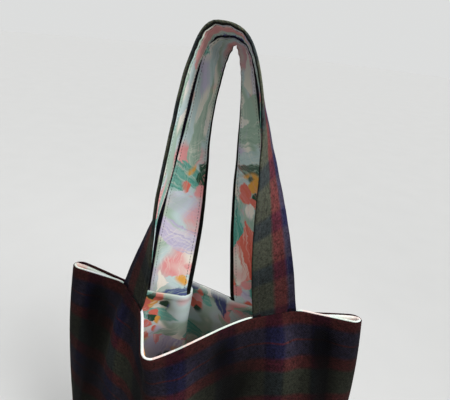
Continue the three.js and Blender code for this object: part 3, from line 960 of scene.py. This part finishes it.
def painted_leaves(shader, brushed, tones, ground):
    """Leaves over a ground, each in its own direction with dry strokes along it."""
    first, second, x, y = scatter(shader, brushed, LEAF_COUNT, (0.37, 0.11))
    along, aside = turned(x, y, first * (2 * math.pi))
    slim = LEAF_HALF_WIDTH * (1.0 - (along / LEAF_HALF_LENGTH) ** 2.0)
    hairs = bristles(shader, along, aside, second)
    mask = shader.smooth(slim - aside.size() + 0.004 * (hairs - 0.5), 0.0, 0.002)
    mask = mask * shader.smooth(second, 0.42, 0.46)
    tone = shader.ramp(second, [
        (0.0, tones["teal"]), (0.58, tones["leaf"]), (0.70, tones["sage"]), (0.82, tones["teal"]),
        (0.93, tones["ink"])], "CONSTANT")
    tone = shader.mix(0.6 * shader.smooth(hairs, 0.48, 0.66), tone, tones["sage"])
    return shader.mix(mask * 0.92, ground, tone)


def painted_blooms(shader, brushed, cloth, tones, ground):
    """Large loose blooms over a ground, their petals brushed from the middle outwards."""
    first, second, x, y = scatter(shader, brushed, BLOOM_COUNT, (1.3, 0.7))
    angle = x.math("ARCTAN2", y, x)
    way = share_out(x, y, BLOOM_RADIUS, second)
    lobes = (angle * 2.5 + first * 9.0).wave().size()
    hairs = shader.noise(shader.joined(angle * 9.0, way * 0.9 + first * 20.0), 2.0, 2.0)
    mask = shader.smooth(0.66 + 0.34 * lobes - way + 0.30 * (hairs - 0.5), 0.0, 0.08)
    mask = mask * shader.smooth(second, 0.34, 0.38)
    tone = shader.ramp(first, [
        (0.0, tones["coral"]), (0.22, tones["pink"]), (0.46, tones["lavender"]), (0.64, tones["pink"]),
        (0.80, tones["cream"])], "CONSTANT")
    tone = shader.mix(0.55 * shader.smooth(hairs, 0.50, 0.74), tone, tones["cream"])
    tone = shader.mix(0.55 * shader.smooth(lobes, 0.40, 0.05), tone, tones["coral"])
    tone = shader.mix(0.7 * shader.smooth(way, 0.46, 0.12), tone, tones["coral"])
    ground = shader.mix(mask, ground, tone)
    eye = shader.smooth(0.19 - way + 0.16 * (hairs - 0.5), 0.0, 0.04) * mask
    seeds = shader.smooth(shader.noise(cloth, 420.0, 1.0), 0.54, 0.60)
    return shader.mix(eye, ground, shader.mix(seeds, tones["amber"], tones["leaf"]))


def painted_dabs(shader, brushed, cloth, tones, ground):
    """Patches of short, dense dabs in strong colours over a ground."""
    first, second, x, y = scatter(shader, brushed, DAB_COUNT, (0.0, 2.1))
    way = share_out(x, y, DAB_RADIUS, second)
    patch = shader.smooth(shader.noise(cloth, 11.0, 1.0), 0.56, 0.60)
    tone = shader.ramp(first, [
        (0.0, tones["coral"]), (0.24, tones["amber"]), (0.36, tones["teal"]), (0.50, tones["cream"]),
        (0.62, tones["ink"]), (0.70, tones["pink"]), (0.84, tones["leaf"])], "CONSTANT")
    return shader.mix(patch * shader.smooth(way, 1.15, 0.85), ground, tone)


def painted_feathers(shader, brushed, cloth, tones, ground):
    """Tufts of fine, quick strokes over a ground."""
    chance, other, x, y = scatter(shader, brushed, FEATHER_COUNT, (2.9, 1.7))
    along, aside = turned(x, y, chance * 2.2 + 0.3)
    line = shader.noise(shader.joined(along * 30.0 + other * 30.0, aside * 800.0), 1.0, 1.0)
    patch = shader.smooth(shader.noise(shader.vector("ADD", cloth, (4.0, 1.0, 0.0)), 13.0, 1.0), 0.53, 0.60)
    tone = shader.ramp(chance, [
        (0.0, tones["cream"]), (0.34, tones["lavender"]), (0.50, tones["sage"]), (0.60, tones["cream"]),
        (0.82, tones["pink"])], "CONSTANT")
    return shader.mix(0.45 * patch * shader.smooth(line, 0.46, 0.72), ground, tone)


def painted_print(colours):
    """Cotton printed with a loose painted floral: washes, sweeps, leaves, blooms, dabs and fine strokes."""
    shader = Shader(bpy.data.materials.new("painted_print"))
    cloth = shader.cloth()
    names = ("sky", "cream", "lavender", "pink", "coral", "teal", "sage", "leaf", "amber", "ink")
    tones = {name: tuple(getattr(colours, name)) for name in names}
    ripple = shader.vector("SUBTRACT", shader.noise(cloth, 20.0, 2.0, out="Color"), (0.5, 0.5, 0.5))
    warped = shader.vector("ADD", cloth, shader.scaled(ripple, 0.022))
    bristle = shader.vector("SUBTRACT", shader.noise(cloth, 190.0, 2.0, out="Color"), (0.5, 0.5, 0.5))
    brushed = shader.vector("ADD", warped, shader.scaled(bristle, 0.004))
    wash = shader.noise(warped, 12.0, 2.0)
    ground = shader.ramp(wash, [
        (0.26, tones["lavender"]), (0.38, tones["cream"]), (0.46, tones["sage"]), (0.53, tones["sky"]),
        (0.62, tones["pink"]), (0.72, tones["cream"])])
    ground = painted_sweeps(shader, brushed, tones, ground)
    ground = painted_leaves(shader, brushed, tones, ground)
    ground = painted_blooms(shader, brushed, cloth, tones, ground)
    ground = painted_dabs(shader, brushed, cloth, tones, ground)
    ground = painted_feathers(shader, brushed, cloth, tones, ground)
    s, t, faded = shader.split(cloth)
    weave = (s / COTTON_YARN * math.pi).wave() * (t / COTTON_YARN * math.pi).wave()
    crumple = shader.noise(cloth, 55.0, 3.0)
    ground = shader.mix(0.66 * faded, ground, shader.mix(wash, tones["cream"], tones["sky"]))
    toned = shader.mix(1.0, ground, shader.grey(0.97 + 0.04 * weave), "MULTIPLY")
    shader.bump(0.25 * weave + 2.4 * crumple, 0.30, 0.0006)
    return shader.finish({
        "Base Color": toned,
        "Roughness": 0.70 + 0.15 * crumple,
        "Sheen Weight": 0.05,
        "Specular IOR Level": 0.25,
    })


def sewing_thread(colours):
    """Dark twisted sewing thread."""
    shader = Shader(bpy.data.materials.new("sewing_thread"))
    place = shader.add("ShaderNodeTexCoord", {}, {}, out="Object")
    twist = shader.add("ShaderNodeTexNoise", {}, {"Vector": place, "Scale": 2600.0, "Detail": 1.0})
    tone = shader.mix(0.35 * twist, tuple(colours.thread), (0.07, 0.06, 0.075, 1.0))
    shader.bump(twist, 0.4, 0.0002)
    return shader.finish({"Base Color": tone, "Roughness": 0.45 + 0.25 * twist, "Specular IOR Level": 0.4})


def stage_paper():
    """Plain pale paper of the floor."""
    shader = Shader(bpy.data.materials.new("stage_paper"))
    place = shader.add("ShaderNodeTexCoord", {}, {}, out="Object")
    tooth = shader.add("ShaderNodeTexNoise", {}, {"Vector": place, "Scale": 9.0, "Detail": 2.0})
    tone = shader.mix(tooth, (0.61, 0.61, 0.605, 1.0), (0.64, 0.64, 0.635, 1.0))
    return shader.finish({"Base Color": tone, "Roughness": 0.9, "Specular IOR Level": 0.0})


MATERIALS = {}


def material(name, colours):
    """A material by name, made on first use."""
    makers = {"tartan_wool": tartan_wool, "painted_print": painted_print, "sewing_thread": sewing_thread}
    if name not in MATERIALS:
        MATERIALS[name] = makers[name](colours)
    return MATERIALS[name]


class BagPieces:
    """Shared by the operators: the bag's shape and the surfaces of its two sides."""

    panels = {}
    shape = None

    @classmethod
    def ready(cls, context):
        """The bag's shape, worked out on first use."""
        if cls.shape is None:
            cls.shape = BagShape(context.scene.tote_sizes)
            cls.panels = {name: Panel(cls.shape, side) for name, side in cls.shape.sides.items()}
        return cls.shape


class TOTE_OT_outer_panels(bpy.types.Operator):
    """Make the two outer panels of tartan wool"""

    bl_idname = "tote.outer_panels"
    bl_label = "Outer panels"

    def execute(self, context):
        sizes, colours = context.scene.tote_sizes, context.scene.tote_colours
        BagPieces.ready(context)
        for name, panel in BagPieces.panels.items():
            start = TARTAN_START[name]
            across, down = np.meshgrid(panel.places, panel.downs)
            lightening = RIM_WEAR * np.exp(-down / RIM_WEAR_REACH)
            # Painted shade over the whole panel, paler rubbed wool at the rim, and painted light on the fold
            # ridges with painted shade in their valleys
            painted_light_and_wear = PANEL_SHADE + lightening + np.clip(FOLD_SHADING_AND_WEAR * panel.folds, *FOLD_SHADING_AND_WEAR_LIMITS)
            cloth = np.stack([across - start[0], down - start[1], painted_light_and_wear], -1)
            piece = cloth_object(
                f"{name}_panel_wool", panel.points, cloth,
                panel.has_cell, panel.side.outward > 0,
            )
            thicken(piece, sizes.outer_cloth, outwards=False)
            dress(piece, material("tartan_wool", colours))
            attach(piece, "bag")
            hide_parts(f"outer_{name}_panel")
        return {"FINISHED"}


class TOTE_OT_lining(bpy.types.Operator):
    """Make the two lining panels, rolled over the rim beside the handles"""

    bl_idname = "tote.lining"
    bl_label = "Lining"

    # Roll of the lining over the rim: shares of the way in from the outer face, and heights above the rim
    roll = (
        (1.0, -0.0060),
        (1.0, -0.0020),
        (1.0, 0.0),
        (0.90, 0.0005),
        (0.75, 0.0008),
        (0.60, 0.0008),
        (0.50, 0.0002),
    )
    # Cloth above this distance from the rim is the roll's, and beside a strap the roll rises over this width
    roll_end = 0.0065
    roll_growth = 0.0025
    # Where the print fades towards the roll, down from the rim, and the cloth over which it does
    fade_start, fade_growth = 0.0030, 0.0025
    # How far the back lining lies below the rim left of the handle, and near the right side seam
    hems = (0.0036, 0.0018)
    # How far from the handle the right one starts, and the cloth over which both grow there and at the seams
    hem_start = 0.022
    hem_growth = (0.006, 0.010)
    seam_growth = 0.012

    def execute(self, context):
        sizes, colours = context.scene.tote_sizes, context.scene.tote_colours
        BagPieces.ready(context)
        for name, panel in BagPieces.panels.items():
            points = panel.layer(sizes.cloth_gap)
            lip, lip_downs = self.lip(panel, sizes)
            skip = int(np.searchsorted(panel.downs, self.roll_end))
            points = np.concatenate([lip, points[skip:]])
            downs = np.concatenate([lip_downs, panel.downs[skip:]])
            across, down = np.meshgrid(panel.places, downs)
            faded = smoothstep((self.fade_start - down) / self.fade_growth)
            cloth = np.stack([across + PRINT_START[name][0], PRINT_START[name][1] - down, faded], -1)
            piece = cloth_object(
                f"{name}_panel_lining", points, cloth,
                lambda i, j: j < len(lip) or panel.has_cell(i, j - len(lip) + skip), panel.side.outward > 0,
            )
            thicken(piece, sizes.lining_cloth, outwards=False)
            dress(piece, material("painted_print", colours))
            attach(piece, "bag")
            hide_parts(f"lining_{name}_panel")
        return {"FINISHED"}

    def lip(self, panel, sizes):
        """Rows of the rolled edge, from its free edge inwards, with their places in the cut."""
        away = np.full(len(panel.places), 1.0)
        for start in panel.side.straps.values():
            outside = np.maximum(start - panel.places, panel.places - start - sizes.strap_width)
            away = np.minimum(away, smoothstep(outside / self.roll_growth))
        bare = self.bare_hem(panel, sizes)
        rows, downs = [], []
        for share, height in reversed(self.roll):
            depth = sizes.cloth_gap * (1 - away * (1 - share))
            lift = height * away if height > 0 else np.full(len(away), height)
            if height > self.roll[0][1]:
                lift = lift - bare
            row = panel.points[0] + panel.inward[0] * depth[:, None]
            rows.append(row + np.stack([0 * lift, 0 * lift, lift], 1))
            downs.append(-height - sizes.cloth_gap * (1 - share))
        return np.array(rows), np.array(downs)

    def bare_hem(self, panel, sizes):
        """Height of the wool that shows above the lining, at places along the rim."""
        if panel.side.name != "back":
            return np.zeros(len(panel.places))
        left_of_handle = panel.side.straps["left"] - panel.places
        right_of_handle = panel.places - panel.side.straps["right"] - sizes.strap_width
        left = self.hems[0] * smoothstep(left_of_handle / self.hem_growth[0])
        right = self.hems[1] * smoothstep((right_of_handle - self.hem_start) / self.hem_growth[1])
        from_seam = np.minimum(panel.places, sizes.panel_width - panel.places)
        return (left + right) * smoothstep(from_seam / self.seam_growth)


def wool_profile(sizes):
    """Section of a handle's wool: across, out and along the cut, with both edges turned in."""
    half, face = sizes.strap_width / 2, sizes.strap_thickness / 2
    radius = (sizes.strap_thickness - sizes.lining_cloth) / 2 - TURN_PLAY
    low = face - 2 * radius
    flat = np.linspace(-(half - radius), half - radius, FACE_POINTS)
    arc = np.linspace(90, -90, EDGE_POINTS)[1:]
    bend_across = half - radius + radius * np.cos(np.radians(arc))
    bend_out = face - radius + radius * np.sin(np.radians(arc))
    turned = half - radius - np.linspace(0, sizes.strap_turn, TURN_POINTS)[1:]
    edge_across = np.concatenate([bend_across, turned])
    edge_out = np.concatenate([bend_out, np.full(len(turned), low)])
    across = np.concatenate([-edge_across[::-1], flat, edge_across])
    out = np.concatenate([edge_out[::-1], np.full(len(flat), face), edge_out])
    steps = np.hypot(np.diff(across), np.diff(out))
    cut = np.concatenate([[0.0], np.cumsum(steps)])
    return across, out, cut - cut[-1] / 2


def stitch_row(sizes):
    """Distance of a handle's rows of stitching from its middle."""
    return sizes.strap_lining_width / 2 - sizes.stitch_inset


def stitch_dip(across, sizes):
    """How far the stitching draws the cloth in along its two rows."""
    return STITCH_DIP * np.exp(-(((np.abs(across) - stitch_row(sizes)) / STITCH_REACH) ** 2))


class TOTE_OT_handles(bpy.types.Operator):
    """Make the two handles: wool outside with turned edges, and a lining strip inside"""

    bl_idname = "tote.handles"
    bl_label = "Handles"

    # Edge of a lining strip: how far it is tucked under, and its width
    tuck, tuck_width = 0.0003, 0.0004
    # Middle of a lining strip: how far it sinks, from where inside the edge, and the width over which it does
    sink, sink_start, sink_growth = 0.0003, 0.0045, 0.003

    def execute(self, context):
        sizes, colours = context.scene.tote_sizes, context.scene.tote_colours
        shape = BagPieces.ready(context)
        for name, panel in BagPieces.panels.items():
            handle = Handle(shape, panel)
            runs = spread([0, handle.tail, handle.tail + handle.left.length, handle.length - handle.tail,
                           handle.length], RUN_STEP)
            self.wool(name, handle, runs, sizes, colours)
            self.lining(name, handle, runs, sizes, colours)
        return {"FINISHED"}

    def wool(self, name, handle, runs, sizes, colours):
        """Wool of a handle, with its edges turned in under the lining."""
        across, out, cut = wool_profile(sizes)
        faced = np.where(out > 0, out - stitch_dip(across, sizes), out)
        points = handle.strip(runs, across, faced)
        start = STRAP_TARTAN_START[name]
        strip, run = np.meshgrid(cut, runs)
        above_rim = np.minimum(run, handle.length - run) - handle.tail
        past_edge = np.abs(strip) - sizes.strap_width / 2
        # Painted shade darkens the handle's folded edges
        folded = smoothstep((past_edge - EDGE_SHADE_START) / EDGE_SHADE_GROWTH)
        # Painted light from above, with some rubbing wear, makes the handle paler towards its top
        lightening = HANDLE_LIGHT_AND_WEAR * smoothstep(above_rim / HANDLE_LIGHT_AND_WEAR_GROWTH)
        painted_light_and_wear = lightening * (1 - folded) + EDGE_SHADE * folded
        cloth = np.stack([run - start[0], start[1] - strip, painted_light_and_wear], -1)
        flip = handle.side.outward < 0
        piece = cloth_object(f"{name}_handle_wool", points, cloth, lambda i, j: True, flip)
        thicken(piece, sizes.strap_cloth, outwards=False)
        dress(piece, material("tartan_wool", colours))
        ends = [f"{name}_{hand}_handle_end" for hand in HANDS]
        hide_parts(f"{name}_handle_outer_strip", *ends)
        bend(piece, name)

    def lining(self, name, handle, runs, sizes, colours):
        """Lining strip on the inside of a handle."""
        half = sizes.strap_lining_width / 2
        inner = half - self.tuck_width
        across = np.concatenate([[-half], np.linspace(-inner, inner, LINING_POINTS), [half]])
        level = -sizes.strap_thickness / 2 + sizes.lining_cloth
        tucked = self.tuck * (np.abs(across) > half - self.tuck_width / 2)
        sunk = self.sink * smoothstep((half - self.sink_start - np.abs(across)) / self.sink_growth)
        face = level + tucked + sunk + stitch_dip(across, sizes)
        points = handle.strip(runs, across, face)
        start = STRAP_PRINT_START[name]
        strip, run = np.meshgrid(across, runs)
        cloth = np.stack([start[0] + strip, start[1] + run, 0 * run], -1)
        flip = handle.side.outward > 0
        piece = cloth_object(f"{name}_handle_lining", points, cloth, lambda i, j: True, flip)
        thicken(piece, sizes.lining_cloth, outwards=True)
        dress(piece, material("painted_print", colours))
        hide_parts(f"{name}_handle_lining_strip")
        bend(piece, name)


def bend(piece, name):
    """Bakes the placement of a piece of a handle into its mesh."""
    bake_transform(piece)


def add_stitches(bm, middles, ways, ups, sizes):
    """Adds a row of stitches: slim beads along the way of the seam, lying on the cloth."""
    number = bm.verts.layers.int.get("stitch") or bm.verts.layers.int.new("stitch")
    ball = bmesh.ops.create_uvsphere(bm, u_segments=STITCH_SIDES, v_segments=STITCH_RINGS, radius=1.0)
    bead = ball["verts"]
    geometry = list({part for vert in bead for part in (vert, *vert.link_edges, *vert.link_faces)})
    count = 1
    while count < len(middles):
        copies = bmesh.ops.duplicate(bm, geom=geometry)["geom"]
        for part in copies:
            if isinstance(part, bmesh.types.BMVert):
                part[number] += count
        geometry += copies
        count *= 2
    slim = Matrix.Diagonal((sizes.stitch_length / 2, sizes.stitch_width / 2, sizes.stitch_width / 2, 1))
    lying = slim @ Matrix.Rotation(math.pi / 2, 4, "Y")
    places = []
    for middle, way, up in zip(middles, ways, ups):
        x = Vector(way).normalized()
        z = (Vector(up) - x * Vector(up).dot(x)).normalized()
        turn = Matrix((x, z.cross(x), z)).transposed().to_4x4()
        places.append(Matrix.Translation(Vector(middle)) @ turn @ lying)
    verts = [part for part in geometry if isinstance(part, bmesh.types.BMVert)]
    spare = [vert for vert in verts if vert[number] >= len(places)]
    for vert in verts:
        if vert[number] < len(places):
            vert.co = places[vert[number]] @ vert.co
    bmesh.ops.delete(bm, geom=spare, context="VERTS")


class TOTE_OT_handle_stitching(bpy.types.Operator):
    """Make the rows of topstitching along both edges of each handle, on both of its faces"""

    bl_idname = "tote.handle_stitching"
    bl_label = "Handle stitching"

    # How far above the rim the rows end, and how deep they lie in the lining and in the wool
    rim_gap = 0.004
    lining_sink, wool_sink = 0.0002, 0.0003
    # How many times as far out the points lie that show which way a stitch faces
    further = 1.5

    def execute(self, context):
        sizes, colours = context.scene.tote_sizes, context.scene.tote_colours
        shape = BagPieces.ready(context)
        row = stitch_row(sizes)
        face = sizes.strap_thickness / 2
        for name, panel in BagPieces.panels.items():
            handle = Handle(shape, panel)
            end = handle.tail + self.rim_gap
            runs = np.arange(end, handle.length - end, sizes.stitch_pitch)
            for edge, at in (("outer", -row), ("inner", row)):
                bm = bmesh.new()
                for level in (-face + self.lining_sink, face - self.wool_sink):
                    middles = handle.strip(runs, np.array([at]), np.array([level]))[:, 0]
                    above = handle.strip(runs, np.array([at]), np.array([level * self.further]))[:, 0]
                    ways = np.gradient(middles, axis=0)
                    add_stitches(bm, middles, ways, above - middles, sizes)
                piece = finished(f"{name}_handle_{edge}_edge_stitches", bm)
                piece.data.shade_smooth()
                dress(piece, material("sewing_thread", colours))
                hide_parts(f"{name}_handle_{edge}_edge_stitching")
                bend(piece, name)
        return {"FINISHED"}


class TOTE_OT_seams(bpy.types.Operator):
    """Make the thread of the rim, side, corner and bottom seams"""

    bl_idname = "tote.seams"
    bl_label = "Seams"

    # From the rim down to its seam, and from that seam's runs to a handle
    rim_drop = 0.005
    strap_gap = 0.0006
    # How far the side, corner and bottom seams end before the cloth's edges
    side_ends = (0.006, 0.004)
    corner_end = 0.006
    bottom_end = 0.004
    # How deep the thread lies: in the side seams, and in the corner and bottom seams
    side_sink = 0.0005
    floor_sink = 0.0008
    # A seam that climbs by more than this share of its way stands upright
    upright_climb = 0.9

    def execute(self, context):
        sizes = context.scene.tote_sizes
        BagPieces.ready(context)
        for name, panel in BagPieces.panels.items():
            left, right = panel.side.straps["left"], panel.side.straps["right"]
            width = sizes.strap_width + self.strap_gap
            runs = {
                "left": (SIDE_TURN, left - self.strap_gap),
                "middle": (left + width, right - self.strap_gap),
                "right": (right + width, sizes.panel_width - SIDE_TURN),
            }
            for place, (start, end) in runs.items():
                places = np.arange(start, end, sizes.stitch_pitch)
                middles = panel.spots(places, self.rim_drop, sizes.tail_depth)
                self.sew(context, middles, f"{name}_rim_seam_{place}")
        panel = BagPieces.panels["front"]
        reach = sizes.base_depth / 2 - self.corner_end
        upper_end, lower_end = self.side_ends
        for hand, i in (("left", 0), ("right", -1)):
            inward = panel.inward[0, i]
            downs = np.arange(upper_end, sizes.rim_height - lower_end, sizes.stitch_pitch)
            column = np.stack([np.interp(downs, panel.downs, panel.points[:, i, k]) for k in range(3)], 1)
            self.sew(context, column + inward * self.side_sink, f"{hand}_side_seam")
            foot = np.interp(sizes.rim_height, panel.downs, panel.points[:, i, 0])
            ys = sizes.seam_line + np.arange(-reach, reach, sizes.stitch_pitch)
            xs = np.full(len(ys), foot) + inward[0] * self.floor_sink
            self.sew(context, self.on_bottom(xs, ys), f"{hand}_corner_seam")
        ends = panel.points[-1, panel.on_floor, 0]
        xs = np.arange(ends.min() + self.bottom_end, ends.max() - self.bottom_end, sizes.stitch_pitch)
        self.sew(context, self.on_bottom(xs, np.full(len(xs), sizes.seam_line)), "bottom_seam")
        return {"FINISHED"}

    def on_bottom(self, xs, ys):
        """Points of a thread that lies in the bottom's cloth."""
        return np.stack([xs, ys, np.full(len(xs), self.floor_sink)], 1)

    def sew(self, context, middles, node):
        """One seam's row of stitches, in place of its node."""
        bm = bmesh.new()
        ways = np.gradient(middles, axis=0)
        upright = np.abs(unit(ways)[:, 2]) > self.upright_climb
        ups = [(0, 1, 0) if stands else (0, 0, 1) for stands in upright]
        add_stitches(bm, middles, ways, ups, context.scene.tote_sizes)
        piece = finished(f"{node}_stitches", bm)
        piece.data.shade_smooth()
        dress(piece, material("sewing_thread", context.scene.tote_colours))
        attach(piece, "bag")
        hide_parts(node)


class TOTE_OT_stage(bpy.types.Operator):
    """Set the pale floor, the soft lights and the camera"""

    bl_idname = "tote.stage"
    bl_label = "Stage"

    # Camera: place in metres, the way it looks in degrees, and its focal length in widths of the picture
    place = (0.0527, -0.3215, 0.6298)
    yaw, pitch, roll = 8.24, 23.74, -6.17
    focal_widths = 411.6 / 450

    # Radiance of the dome low down, its rise to overhead, and the backdrop that the camera sees
    dome_low, dome_rise, backdrop = 0.31, 0.50, 0.725
    # Each sun's direction, strength and spread in degrees
    suns = (
        ("window", (0.66, -0.46, 0.60), 1.5, 30.0),
        ("rim", (-0.55, 0.65, 0.52), 1.0, 50.0),
        ("fill", (-0.10, -0.85, 0.50), 0.22, 60.0),
    )
    # Place of the lamp over the handles, its size, its power and the spread of its light in degrees
    lamp = ((0.40, -0.26, 0.88), 0.45, 0.9, 80.0)
    # What that lamp is turned to, how far off the suns stand, and the radius of the floor
    lamp_target, sun_distance, floor_radius = (0.0, 0.0, 0.45), 3.0, 9.0

    def execute(self, context):
        self.floor()
        self.lights(context)
        self.camera(context)
        context.scene.view_settings.view_transform = "Standard"
        return {"FINISHED"}

    def floor(self):
        """A round paper floor that throws no light back on the bag."""
        bm = bmesh.new()
        bmesh.ops.create_circle(bm, cap_ends=True, segments=96, radius=self.floor_radius)
        floor = finished("floor", bm)
        floor.data.materials.append(stage_paper())
        floor.visible_diffuse = False

    def lights(self, context):
        """A dome that is brightest overhead, three broad suns and a lamp over the handles."""
        shader = Shader(bpy.data.worlds.new("studio"), surface="Background")
        _, _, up = shader.split(shader.add("ShaderNodeTexCoord", {}, {}, out="Generated"))
        dome = self.dome_low + self.dome_rise * shader.smooth(up, 0.0, 1.0)
        seen = shader.add("ShaderNodeLightPath", {}, {}, out="Is Camera Ray")
        context.scene.world = shader.finish({
            "Color": (0.99, 1.0, 0.995, 1.0),
            "Strength": dome + seen * (self.backdrop - dome),
        })
        for name, way, strength, spread in self.suns:
            data = bpy.data.lights.new(name, "SUN")
            data.energy = strength
            data.angle = math.radians(spread)
            self.place_lamp(context, data, Vector(way) * self.sun_distance, Vector((0.0, 0.0, 0.0)))
        where, extent, power, spread = self.lamp
        data = bpy.data.lights.new("lamp", "AREA")
        data.size = extent
        data.energy = power
        data.spread = math.radians(spread)
        self.place_lamp(context, data, Vector(where), Vector(self.lamp_target))

    def place_lamp(self, context, data, where, target):
        """Puts a light in its place, turned to a target."""
        lamp = bpy.data.objects.new(data.name, data)
        lamp.location = where
        lamp.rotation_euler = (target - where).to_track_quat("-Z", "Y").to_euler()
        lamp.visible_camera = False
        context.scene.collection.objects.link(lamp)

    def camera(self, context):
        """The camera in its place, turned by its yaw, pitch and roll."""
        data = bpy.data.cameras.new("camera")
        data.sensor_width = 36.0
        data.lens = data.sensor_width * self.focal_widths
        data.clip_start = 0.01
        camera = bpy.data.objects.new("camera", data)
        yaw, pitch, roll = (math.radians(angle) for angle in (self.yaw, self.pitch, self.roll))
        level = Vector((math.cos(yaw), math.sin(yaw), 0.0))
        ahead = Vector((-math.sin(yaw), math.cos(yaw), 0.0))
        forward = math.cos(pitch) * ahead - Vector((0.0, 0.0, math.sin(pitch)))
        down = forward.cross(level)
        right = math.cos(roll) * level + math.sin(roll) * down
        below = math.cos(roll) * down - math.sin(roll) * level
        turn = Matrix((right, -below, -forward)).transposed().to_4x4()
        camera.matrix_world = Matrix.Translation(Vector(self.place)) @ turn
        context.scene.collection.objects.link(camera)
        context.scene.camera = camera


OPERATORS = (
    TOTE_OT_outer_panels,
    TOTE_OT_lining,
    TOTE_OT_handles,
    TOTE_OT_handle_stitching,
    TOTE_OT_seams,
    TOTE_OT_stage,
)


class TOTE_PT_pieces(bpy.types.Panel):
    """Lists the pieces of the tote bag"""

    bl_idname = "TOTE_PT_pieces"
    bl_label = "Tote bag"
    bl_space_type = "VIEW_3D"
    bl_region_type = "UI"
    bl_category = "Tote bag"

    def draw(self, context):
        for operator in OPERATORS:
            self.layout.operator(operator.bl_idname)
        for group in (context.scene.tote_sizes, context.scene.tote_colours):
            box = self.layout.box()
            for name in group.__annotations__:
                box.prop(group, name)


CLASSES = (ToteSizes, ToteColours, *OPERATORS, TOTE_PT_pieces)


def register():
    for cls in CLASSES:
        bpy.utils.register_class(cls)
    bpy.types.Scene.tote_sizes = PointerProperty(type=ToteSizes)
    bpy.types.Scene.tote_colours = PointerProperty(type=ToteColours)


def unregister():
    del bpy.types.Scene.tote_colours
    del bpy.types.Scene.tote_sizes
    for cls in reversed(CLASSES):
        bpy.utils.unregister_class(cls)


def main():
    """Makes the pieces in order."""
    register()
    bpy.ops.tote.stage()
    bpy.ops.tote.outer_panels()
    bpy.ops.tote.lining()
    bpy.ops.tote.handles()
    bpy.ops.tote.handle_stitching()
    bpy.ops.tote.seams()


if __name__ == "__main__":
    main()
